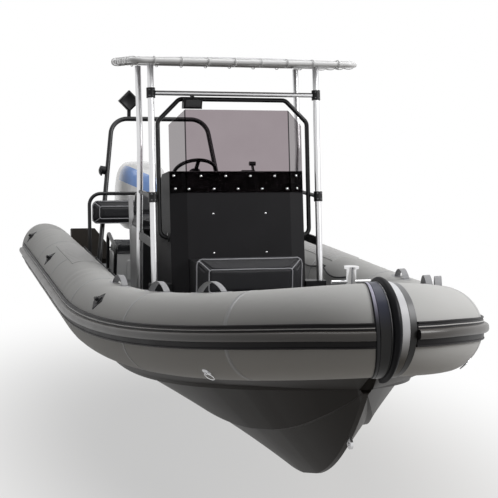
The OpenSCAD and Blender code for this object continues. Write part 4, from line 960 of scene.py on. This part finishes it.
def sew(piece, seams, depth=0.007, width=0.012):
    """Draws the cover in along its seams."""
    tree, index = tree_of(piece), {}

    def cell(p):
        return [int(c // (2 * width)) for c in p]

    for a, b in (stretch for seam in seams for stretch in zip(seam, seam[1:])):
        for f in spread(0, 1, 1 + max(1, int((b - a).length / STITCH))):
            mark = tree.find_nearest(a.lerp(b, f))[0]
            index.setdefault(tuple(cell(mark)), []).append(mark)
    normals = [v.normal.copy() for v in piece.data.vertices]
    for v, n in zip(piece.data.vertices, normals):
        i, j, k = cell(v.co)
        around = product((i - 1, i, i + 1), (j - 1, j, j + 1), (k - 1, k, k + 1))
        near = [p for spot in around for p in index.get(spot, ())]
        if near:
            gap = min((p - v.co).length for p in near)
            v.co -= n * depth * exp(-((gap / width) ** 2))


def pipe_seams(name, piece, seams, finish, ahead=None, diameter=PIPING_D):
    """Lays a corded edging on a cover's seams, straight back from ahead or else at the nearest place."""
    tree, edging = tree_of(piece), Moulding()
    for seam in seams:
        path = []
        for p in seam:
            spot, normal = tree.ray_cast(p + ahead, -ahead)[:2] if ahead else (None, None)
            if spot is None:
                spot, normal = tree.find_nearest(p)[:2]
            path.append(spot + normal * diameter * 0.2)
        edging.pipe(path, diameter, 8)
    return edging.release(name, finish)


def round_loop(place, half_u, half_v, radius):
    """Closed loop with round corners; place(u, v) gives its points."""
    loop, turns = [], arcs(half_u, half_v, radius)
    for arc, following in zip(turns, turns[1:] + turns[:1]):
        (u, v), (next_u, next_v) = arc[-1], following[0]
        loop += arc + [(u + (next_u - u) * f, v + (next_v - v) * f) for f in spread(0, 1, 14)[1:-1]]
    return [place(u, v) for u, v in loop + loop[:1]]


def back_seams(x_rim, x_panel, middle_z, half_y, half_z, panel_y, panel_z):
    """Seams of a bevelled back pad: rim, raised panel and the mitres between their corners."""
    rim = round_loop(lambda u, v: Vector((x_rim, u, middle_z + v)), half_y, half_z, 0.050)
    inner = round_loop(lambda u, v: Vector((x_panel, u, middle_z + v)), panel_y, panel_z, 0.022)
    mitres = []
    for u, v in product((-1, 1), (-1, 1)):
        near = Vector((x_panel, u * (panel_y - 0.006), middle_z + v * (panel_z - 0.006)))
        far = Vector((x_rim, u * (half_y - 0.016), middle_z + v * (half_z - 0.016)))
        mitres.append([near.lerp(far, f) for f in spread(0, 1, 10)])
    return [rim, inner] + mitres


def back_pad(name, node, cover, voxel, *form):
    """A bevelled back pad, its panel sewn in and its seams corded."""
    piece = upholster(name, node, (-1, 0, 0), 0.012, cover, voxel=voxel)
    seams = back_seams(*form)
    sew(piece, seams[1:])
    fit(piece, "vinyl", node)
    piping = pipe_seams(name.replace("pad", "piping"), piece, seams, pale_piping, Vector((0.2, 0, 0)))
    fit(piping, "vinyl")


back_mid, back_half = (BACK_LOW + BACK_HIGH) / 2, (BACK_HIGH - BACK_LOW) / 2
back_pad("front_back_pad", "front_backrest", black_vinyl, 0.006, BACK_X + 0.034, BACK_X + 0.075, back_mid,
         SEAT_HALF, back_half, BACK_PANEL_Y, BACK_PANEL_Z)


def seat_seams(node, top_z, inset, channels):
    """Edge seam of a seat cushion and the sewn channels across its top."""
    low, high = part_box(node)
    mid_x, mid_y = (low[0] + high[0]) / 2, (low[1] + high[1]) / 2
    half_x, half_y = (high[0] - low[0]) / 2 - inset, (high[1] - low[1]) / 2 - inset
    rim = round_loop(lambda u, v: Vector((mid_x + u, mid_y + v, top_z)), half_x, half_y, 0.045)
    lines = []
    for y in spread(mid_y - half_y, mid_y + half_y, channels + 2)[1:-1]:
        lines.append([Vector((mid_x + u, y, top_z)) for u in spread(-half_x, half_x, 24)])
    return [rim] + lines


def seat_cushion(name, node, channels, cap):
    """A seat cushion with corded edge and sewn channels, lying flat on its locker."""
    piece = upholster(name, node, (0, 0, -1), cap, black_vinyl)
    edge, *lines = seat_seams(node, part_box(node)[1][2] - 0.004, 0.016, channels)
    sew(piece, lines, 0.010, 0.014)
    fit(piece, "vinyl", node)
    fit(pipe_seams(name + "_piping", piece, [edge], dark_piping), "vinyl")


seat_cushion("front_seat_cushion", "front_cushion", 2, 0.016)

# Helm
# The steering wheel on its shaft, square to the dash, and the throttle box with its lever. All are
# moulded in black plastic and fixed to the dash.
control_plastic = Finish(
    "control_plastic", (0.016, 0.016, 0.017), 0.4, (25, 0.75, 1.4, 0.15), (600, 0.0006, 0.4)
)
dress(control_plastic, 0.004, "helm_wheel", "throttle")

# Helm seat
# A moulded pod with pale cheeks at its ends, a wide cushion for two and a grey bolster that the
# helmsman leans on.
CHEEK_Y = 0.5236
pod_gelcoat = Finish("pod_gelcoat", (0.62, 0.62, 0.63), 0.35, Coat_Weight=0.3)
cheek = abs(pod_gelcoat.place.axes()[1]) > CHEEK_Y
cloud = pod_gelcoat.noise(5)
dark_pod = pod_gelcoat.blend(cloud, (0.016, 0.016, 0.018), (0.026, 0.026, 0.028))
pale_pod = pod_gelcoat.blend(cloud, (0.52, 0.52, 0.53), (0.60, 0.60, 0.61))
pod_gelcoat.feed("Base Color", pod_gelcoat.blend(cheek, dark_pod, pale_pod))
pod_gelcoat.feed("Roughness", cloud * 0.15 + 0.28)
dress(pod_gelcoat, 0.008, "helm_seat_base")
seat_cushion("helm_seat_cushion", "helm_cushion", 3, 0.016)
grey_vinyl = vinyl_finish("grey_vinyl", (0.040, 0.041, 0.044))
bolster = upholster("helm_bolster", "helm_backrest", (0, 0, -1), 0.014, grey_vinyl, voxel=0.007)
low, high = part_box("helm_backrest")
# Round the bolster from its front foot over the top to its rear foot
over_bolster = [(high[0], low[2] + 0.02), (high[0] - 0.03, high[2] - 0.03), (high[0] - 0.06, high[2] + 0.01),
                (low[0], high[2] - 0.03), (low[0] + 0.02, low[2] + 0.02)]
bolster_seams = [[Vector((x, y, z)) for x, z in over_bolster] for y in spread(low[1], high[1], 6)[1:-1]]
sew(bolster, bolster_seams, 0.009, 0.012)
fit(bolster, "grey_vinyl", "helm_backrest")

# Grab frames
# Black tubes beside the helm seat, each one length with two bends. They stand on round flanges
# screwed to the sole.
GRAB_D, GRAB_Y, GRAB_BEND, GRAB_FOOT = 0.030, 0.720, 0.060, 0.040
GRAB_PATH = [(-1.420, DECK_Z), (-1.420, 0.700), (-1.000, 0.600), (-1.060, DECK_Z)]


def flange(moulding, foot, bore, radius):
    """Adds a round foot plate with its screws."""
    plate = [(radius, 0), (radius, 0.004), (radius * 0.9, 0.007), (bore * 0.75, 0.009), (bore / 2, 0.018)]
    turned(moulding, foot, UP, plate, 24)
    screw_ring(moulding, foot, UP, radius * 0.72, 0.006)


grabs = Moulding()
for mirror in SIDES.values():
    path = bent([mirror((x, GRAB_Y, z)) for x, z in GRAB_PATH], GRAB_BEND)
    grabs.pipe(path, GRAB_D, 18)
    for foot in (path[0], path[-1]):
        flange(grabs, foot, GRAB_D, GRAB_FOOT)
fit(grabs.release("grab_tubes", tube_black), "black_tube", "grab_frames")

# Top frame
# Four aluminium legs beside the console carry the roof: the front pair raked, the rear pair bent.
# Black collars, a stay plate and brackets on the console's sides clamp them together.
LEG_D, LEG_Y, LEG_REAR_X, ROOF_Z = 0.048, 0.645, -0.290, 2.140
LEG_BENDS, LEG_BEND, LEG_FOOT = [(LEG_REAR_X, DECK_Z), (LEG_REAR_X, 1.480), (-0.414, 2.1117)], 0.260, 0.055
LEG_FRONT_X, LEG_FRONT_Z = 0.336, 0.555
# Clamps: heights, radius; their bolts: turn from ahead, half distance, upward tilt, radius
CLAMP_ZS, CLAMP_R, BOLT_TURN, BOLT_HALF, BOLT_TILT, BOLT_R = (1.909, 1.139), 0.033, 0.5, 0.022, 0.14, 0.006
# Bolts of the brackets and the stay plates: places along the boat, distance from its middle, heights
SIDE_BOLTS = [((0.312, 0.374), 0.680, (0.462, 0.490)), ((-0.250, 0.262), LEG_Y + 0.008, (0.776, 0.812))]
aluminium = Finish("aluminium", (0.70, 0.70, 0.71), 0.34, (5, 0.94, 1.05, 0.08), Metallic=1.0)
dress(aluminium, 0, "top_legs_front", "top_crossbar")
clamp_plastic = Finish("clamp_plastic", (0.008, 0.008, 0.009), 0.40, (30, 0.7, 1.5, 0.15), gloss=0.25)
dress(clamp_plastic, 0.006, "leg_clamps")
dark_steel = Finish("dark_steel", (0.10, 0.10, 0.105), 0.35, (30, 0.8, 1.2, 0.1), Metallic=1.0)
rear_legs, bolts = Moulding(), Moulding()
for mirror in SIDES.values():
    path = bent([mirror((x, LEG_Y, z)) for x, z in LEG_BENDS], LEG_BEND, 14)
    rear_legs.pipe(path, LEG_D, 28)
    flange(rear_legs, path[0], LEG_D, LEG_FOOT)
    for z, turn, lift in product(CLAMP_ZS, (-BOLT_TURN, BOLT_TURN), (-BOLT_HALF, BOLT_HALF)):
        x = LEG_FRONT_X - (z + lift - LEG_FRONT_Z) * LEG_LEAN
        way = mirror((cos(turn), sin(turn), BOLT_TILT))
        dome(bolts, mirror((x, LEG_Y, z + lift)) + way * CLAMP_R * 0.97, way, BOLT_R)
    for xs, y, zs in SIDE_BOLTS:
        for x, z in product(xs, zs):
            dome(bolts, mirror((x, y, z)), mirror((0, 1, 0)), BOLT_R)
fit(rear_legs.release("rear_leg_tubes", aluminium), "aluminium_tube", "top_legs_rear")
fit(bolts.release("clamp_bolts", dark_steel), "steel")

# Roof
# A white-coated tube bent round at its corners, with two rails to the legs. The white canvas is one
# crowned sheet with a corded hem, laced to the tube through eyelets.
ROOF_D, ROOF_FRONT, ROOF_REAR, ROOF_HALF, ROOF_CORNER = 0.040, 0.540, -0.474, 0.862, 0.090
ROOF_JOINT, JOINT_HALF, JOINT_SHARE = 0.021, 0.012, 1.12
CANVAS_IN, CANVAS_Z, CANVAS_CROWN, CANVAS_T = 0.052, ROOF_Z + ROOF_D / 2 + 0.0015, 0.020, 0.002
CANVAS_HEM, CANVAS_DRAW, HEM_D = 0.008, 0.006, 0.009
# Lacing: diameter, half height of a turn, eyelets along the sides and the ends
LACE_D, LACE_HALF, EYELETS_V, EYELETS_U = 0.007, 0.0295, spread(-0.86, 0.86, 8), spread(-0.75, 0.75, 4)
white_paint = Finish("white_paint", (0.62, 0.62, 0.62), 0.3, (8, 0.94, 1.04, 0.1), Coat_Weight=0.3)
roof_x0, roof_x1, roof_y = ROOF_REAR + ROOF_D / 2, ROOF_FRONT - ROOF_D / 2, ROOF_HALF - ROOF_D / 2
roof_mid = (roof_x0 + roof_x1) / 2
roof_corners = [(roof_x1, roof_y), (roof_x1, -roof_y), (roof_x0, -roof_y), (roof_x0, roof_y)]
roof_loop = [(roof_mid, roof_y), *roof_corners, (roof_mid - 0.0005, roof_y)]
roof_tubes = Moulding().pipe(bent([(x, y, ROOF_Z) for x, y in roof_loop], ROOF_CORNER, 12), ROOF_D, 20)
for y in (-LEG_Y, LEG_Y):
    rail = spread(roof_x0 + 0.0203, roof_x1 - 0.0203, 6)
    roof_tubes.pipe([Vector((x, y, ROOF_Z)) for x in rail], ROOF_D, 20)
    for x in (roof_x0 + ROOF_JOINT, roof_x1 - ROOF_JOINT):
        joint = [Vector((x + half, y, ROOF_Z)) for half in (-JOINT_HALF, JOINT_HALF)]
        roof_tubes.pipe(joint, ROOF_D * JOINT_SHARE, 20)
fit(roof_tubes.release("roof_tubes", white_paint), "white_tube", "roof_frame")
canvas = Finish("canvas", (0.56, 0.56, 0.575), 0.85, (5, 0.93, 1.05, 0.1), Sheen_Weight=0.05)
weft, warp = (canvas.texture("Wave", 260, {"bands_direction": way}) for way in "XY")
canvas.bump(weft * 0.3 + warp * 0.3 + canvas.noise(5, 2, (1, 3, 1)) * 4, 0.0025, 0.5)
canvas_x0, canvas_x1, canvas_y = ROOF_REAR + CANVAS_IN, ROOF_FRONT - CANVAS_IN, ROOF_HALF - CANVAS_IN


def canvas_point(u, v, lift):
    """Point on the stretched canvas, whose edges draw in between the eyelets; u and v run from -1 to 1."""
    crown = CANVAS_CROWN * (1 - u * u) ** 0.7 * (1 - v * v) ** 0.7
    draw_u = CANVAS_DRAW * abs(u) ** 6 * cos(pi * 8 * (v + 1)) * (1 - v * v)
    draw_v = CANVAS_DRAW * abs(v) ** 6 * cos(pi * 5 * (u + 1)) * (1 - u * u)
    x = (canvas_x0 + canvas_x1) / 2 + u * ((canvas_x1 - canvas_x0) / 2 - CANVAS_HEM + draw_u)
    y = v * (canvas_y - CANVAS_HEM + draw_v)
    return Vector((x, y, CANVAS_Z + crown + lift))


us, vs = spread(-1, 1, 61), spread(-1, 1, 97)
sheet = Moulding()
rim_uv = [(-1, v) for v in vs] + [(u, 1) for u in us[1:]]
rim_uv += [(-u, -v) for u, v in rim_uv[1:-1]]
for lift in (0.0, CANVAS_T):
    sheet.skin([[canvas_point(u, v, lift) for v in vs] for u in us])
sheet.skin([[canvas_point(u, v, lift) for u, v in rim_uv] for lift in (0.0, CANVAS_T)], closed=True)
sheet = fit(sheet.release("canopy_canvas", canvas, join=0.0002), "canvas", "canopy")
lacing = Moulding().pipe([canvas_point(u, v, CANVAS_T / 2) for u, v in rim_uv + rim_uv[:1]], HEM_D, 8)
for u, v in [*product((-1, 1), EYELETS_V), *product(EYELETS_U, (-1, 1))]:
    p = canvas_point(u * 0.97, v, 0.004)
    rim = Vector((p.x, copysign(roof_y, v), ROOF_Z))
    if abs(u) == 1:
        rim = Vector((roof_x1 if u > 0 else roof_x0, p.y, ROOF_Z))
    middle, reach = (p + rim) / 2, Vector((rim.x - p.x, rim.y - p.y, 0))
    flat, half = reach.normalized(), reach.length / 2 + ROOF_D / 2 + 0.006
    centre = Vector((middle.x, middle.y, ROOF_Z)) + flat * 0.002
    ring = []
    for a in spread(0, 2 * pi, 33):
        rise = LACE_HALF * copysign(abs(sin(a)) ** 0.6, sin(a))
        ring.append(centre + flat * half * cos(a) + UP * rise)
    lacing.pipe(ring, LACE_D, 7)
lacing = fit(lacing.release("canopy_lacing", white_paint), "canvas")

# Deck lamp
# A sealed floodlight hung under the crossbar, its glass facing the bow. A raised frame on the black
# case holds the ribbed lens.
LAMP_LEAN, LAMP_H = 0.018, 0.078
lamp_black = Finish("lamp_black", (0.008, 0.008, 0.009), 0.40, (25, 0.7, 1.5, 0.15), gloss=0.2)
dress(lamp_black, 0.006, "deck_lamp", "arch_lamps")
lens_glass = Finish("lens_glass", (0.05, 0.052, 0.056), 0.10, gloss=0.3)
ribs = lens_glass.texture("Wave", 55, {"bands_direction": "Y"})
# The ribs are painted in dark and light stripes: a painted glint along each rib of the clear lens
lens_glass.feed("Base Color", lens_glass.blend(ribs, (0.025, 0.026, 0.028), (0.07, 0.072, 0.078)))
lens_glass.bump(ribs, 0.002, 0.6)
lamp_low, lamp_high = (Vector(corner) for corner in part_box("deck_lamp"))


def on_lamp(u, v, h):
    up = LAMP_H / 2 + u
    x = lamp_high.x - LAMP_LEAN + up * LAMP_LEAN / LAMP_H + h
    return Vector((x, (lamp_low.y + lamp_high.y) / 2 + v, lamp_low.z + up))


lamp_lens = Moulding()
panel(lamp_lens, on_lamp, 0.034, 0.064, 0.006, 0.008)
panel(lamp_lens, lambda u, v, h: on_lamp(u, v, h + 0.005), 0.027, 0.056, 0.002, 0.005, 1)
fit(lamp_lens.release("deck_lamp_lens", lamp_black, lens_glass), "lamp_black")

# Stern arch
# A black tube bent over the stern that carries the lamps: a flat diamond beacon on a stem and a
# round side lamp on the starboard leg.
ARCH_D, ARCH_X, ARCH_MID_Z, ARCH_BEND, ARCH_FLANGE = 0.045, -2.300, 1.6425, 0.170, 0.055
# How far the arch leans aft and inward for each metre of height
ARCH_AFT, ARCH_IN, ARCH_FOOT_Y = 0.348, 0.144, 0.680
BEACON_Y, BEACON_Z, BEACON_RISE, BEACON_HALF, BEACON_T = -0.300, 1.6653, 0.150, 0.105, 0.030
DIAMOND = ((1, 0), (0, 1), (-1, 0), (0, -1))
# Beacon's frame and glass: share of its half width, height over its face
BEACON_STEPS = [(0.92, -SUNK), (0.90, 0.006), (0.80, 0.006), (0.74, 0.002), (0, 0.002)]
NAV_Z, NAV_REACH = 1.150, 0.050
# Side lamp's rim and lens: radius and height pairs
NAV_RIM = [(0.041, -0.012), (0.043, -0.008), (0.043, -0.002), (0.036, 0.002), (0.032, 0.001)]
NAV_LENS = [(0.033, 0.0), (0.028, 0.008), (0.016, 0.012), (0, 0.013)]


def arch_at(z, y=None):
    up = z - DECK_Z
    return Vector((ARCH_X - up * ARCH_AFT, ARCH_FOOT_Y - up * ARCH_IN if y is None else y, z))


arch = Moulding().pipe(bent(over_and_back([arch_at(DECK_Z), arch_at(ARCH_MID_Z)]), ARCH_BEND, 14), ARCH_D, 24)
for mirror in SIDES.values():
    flange(arch, mirror(arch_at(DECK_Z)), ARCH_D, ARCH_FLANGE)
fit(arch.release("arch_tube", tube_black), "black_tube", "stern_arch")
beacon_mid = arch_at(BEACON_Z, BEACON_Y) + UP * BEACON_RISE
beacon = Moulding()
for way in (-1, 1):
    rows = []
    for share, lift in BEACON_STEPS:
        half, x = share * BEACON_HALF, way * (BEACON_T + lift)
        rows.append([beacon_mid + Vector((x, half * y, half * z)) for y, z in DIAMOND])
    beacon.skin(rows, closed=True)
nav_way = Vector((0, -1, -ARCH_IN)).normalized()
nav_foot = mirrored_y(arch_at(NAV_Z)) + nav_way * (ARCH_D / 2 + NAV_REACH)
turned(beacon, nav_foot, nav_way, NAV_RIM, 28)
turned(beacon, nav_foot, nav_way, NAV_LENS, 28, 1)
fit(beacon.release("arch_lamp_trim", lamp_black, lens_glass), "lamp_black")

# Rear bench
# A white locker across the cockpit with a black cushion. Behind it a bent tube holds a back pad
# made like the front seat's.
BENCH_FRONT, HATCH_Y, HATCH_Z, LATCH_Z, HATCH_T = -1.780, 0.28, 0.300, 0.365, 0.008
FRAME_D, FRAME_X, FRAME_Y, FRAME_Z, FRAME_LEAN = 0.034, -2.267, 0.753, 0.950, 0.12
FRAME_BEND, FRAME_FOOT = 0.110, 0.045
bench_gelcoat = Finish("bench_gelcoat", (0.64, 0.64, 0.64), 0.33, (4, 0.93, 1.05, 0.12), Coat_Weight=0.3)
dress(bench_gelcoat, 0.015, "rear_bench")


def bench_panel(x, y, z, *form):
    panel(hatch, lambda u, v, h: Vector((x + h, y + v, z + u)), *form)


hatch = Moulding()
for y in (-HATCH_Y, HATCH_Y):
    bench_panel(BENCH_FRONT, y, HATCH_Z, 0.095, 0.215, HATCH_T, 0.025)
    bench_panel(BENCH_FRONT + HATCH_T, y, LATCH_Z, 0.012, 0.035, 0.008, 0.008, 1)
fit(hatch.release("bench_hatches", bench_gelcoat, lamp_black), "white_gelcoat")
seat_cushion("rear_seat_cushion", "rear_cushion", 3, 0.014)
frame_foot = Vector((FRAME_X, FRAME_Y, DECK_Z))
frame_top = Vector((FRAME_X - (FRAME_Z - DECK_Z) * FRAME_LEAN, FRAME_Y, FRAME_Z))
rear_frame = Moulding().pipe(bent(over_and_back([frame_foot, frame_top]), FRAME_BEND, 12), FRAME_D, 20)
for mirror in SIDES.values():
    flange(rear_frame, mirror(frame_foot), FRAME_D, FRAME_FOOT)
fit(rear_frame.release("rear_frame_tube", tube_black), "black_tube", "backrest_frame")
low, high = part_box("rear_backrest")
rear_mid, rear_half = (low[2] + high[2]) / 2, (high[2] - low[2]) / 2
back_pad("rear_back_pad", "rear_backrest", black_vinyl, 0.007, low[0] + 0.034, high[0] + 0.015, rear_mid,
         high[1], rear_half, high[1] - 0.075, rear_half - 0.062)

# Engine
# An outboard on its transom clamp: cast bracket and swivel, a painted leg with its gearcase, a
# moulded pan and a white cowl with a blue panel on its front, and a three-bladed propeller.
bracket_paint = Finish("bracket_paint", (0.085, 0.085, 0.088), 0.45, (18, 0.8, 1.25, 0.15))
leg_paint = Finish("leg_paint", (0.56, 0.56, 0.57), 0.36, (6, 0.9, 1.07, 0.14), Coat_Weight=0.2)
core_metal = Finish("core_metal", (0.05, 0.05, 0.052), 0.5, (30, 0.7, 1.4, 0.2), Metallic=0.6)
prop_paint = Finish("prop_paint", (0.014, 0.014, 0.015), 0.32, (30, 0.7, 1.7, 0.18))
dress(bracket_paint, 0.006, "engine_clamp", "engine_swivel")
dress(leg_paint, 0, "engine_leg")
dress(core_metal, 0, "engine_block")
dress(prop_paint, 0.002, "propeller")
# Cowl: share of the height, of the length and of the width, shift aft
COWL_ROWS = [
    (0, 0.97, 0.92, 0), (0.12, 1, 1, 0), (0.45, 0.99, 0.99, 0.004), (0.7, 0.94, 0.93, 0.010),
    (0.86, 0.84, 0.82, 0.022), (0.96, 0.66, 0.62, 0.034), (1, 0.4, 0.36, 0.044),
]
COWL_FRONT, COWL_L, COWL_HALF, COWL_LOW, COWL_TOP, COWL_POWER = -3.4357, 0.690, 0.265, 0.640, 1.164, 0.62
COWL_SIDES = 96
# Blue panel: how far aft it reaches, its slant across the cowl, its lower and upper edge
PANEL_AFT, PANEL_SLANT, PANEL_LOW, PANEL_HIGH = 0.300, 0.42, 0.875, 1.06
# Pan: its foot as a cowl row, heights of the foot, the shoulder and the rim, and the groove above
PAN_FOOT, PAN_LOW, PAN_SHOULDER, PAN_RIM = (0, 0.62, 0.70, -0.020), 0.4713, 0.560, 0.626
GROOVE_IN, GROOVE_LOW, GROOVE_HIGH = 0.006, 0.630, 0.6397


def cowl_ring(row, grow=0.0, z=None):
    share, length, width, aft = row
    x = COWL_FRONT - COWL_L / 2 - aft
    if z is None:
        z = COWL_LOW + (COWL_TOP - COWL_LOW) * share
    ring = []
    for k in range(COWL_SIDES):
        c, s = (f(2 * pi * k / COWL_SIDES) for f in (cos, sin))
        out = (COWL_L / 2 * length + grow) * copysign(abs(c) ** COWL_POWER, c)
        ring.append(Vector((x + out, (COWL_HALF * width + grow) * copysign(abs(s) ** COWL_POWER, s), z)))
    return ring


def smooth_rows(rows, steps):
    """Rows between the given ones on one smooth curve."""
    fine = []
    for i in range(len(rows) - 1):
        around = [rows[min(max(i + k, 0), len(rows) - 1)] for k in (-1, 0, 1, 2)]
        for f in spread(0, 1, steps + 1)[:-1]:
            row = []
            for p, q, r, s in zip(*around):
                bend = (2 * p - 5 * q + 4 * r - s) * f * f + (3 * q - p - 3 * r + s) * f**3
                row.append(0.5 * (2 * q + (r - p) * f + bend))
            fine.append(row)
    return fine + [rows[-1]]


cowl_white = Finish("cowl_white", (0.70, 0.70, 0.70), 0.22, Coat_Weight=0.6, Coat_Roughness=0.08)
cx, cy, cz = cowl_white.place.axes()
slope = cz + cy * PANEL_SLANT
blue = (cx > COWL_FRONT - PANEL_AFT) * (slope > PANEL_LOW) * (slope < PANEL_HIGH)
cloud = cowl_white.noise(4)
shell = cowl_white.blend(cloud, (0.66, 0.66, 0.66), (0.73, 0.73, 0.73))
cowl_white.feed("Base Color", cowl_white.blend(blue, shell, (0.16, 0.29, 0.61)))
cowl_white.feed("Roughness", cloud * 0.1 + 0.17)
rings = [cowl_ring(row) for row in smooth_rows(COWL_ROWS, 6)]
cowl = Moulding().skin(rings, closed=True).lid(rings[-1]).lid(rings[0])
fit(cowl.release("cowl_shell", cowl_white), "engine_white", "engine_cowl", body="engine")
rim = COWL_ROWS[0]
rings = [cowl_ring(PAN_FOOT, 0, PAN_LOW)]
for f in spread(0.12, 1, 9):
    row = [a + (b - a) * sin(f * pi / 2) for a, b in zip(PAN_FOOT, rim)]
    rings.append(cowl_ring(row, 0, PAN_LOW + (PAN_SHOULDER - PAN_LOW) * f))
rings.append(cowl_ring(rim, 0, PAN_RIM))
rings += [cowl_ring(rim, -GROOVE_IN, z) for z in (GROOVE_LOW, GROOVE_HIGH)]
pan = Moulding().skin(rings, closed=True).lid(rings[0]).lid(rings[-1])
fit(pan.release("pan_shell", leg_paint), "engine_grey", "engine_pan", body="engine")
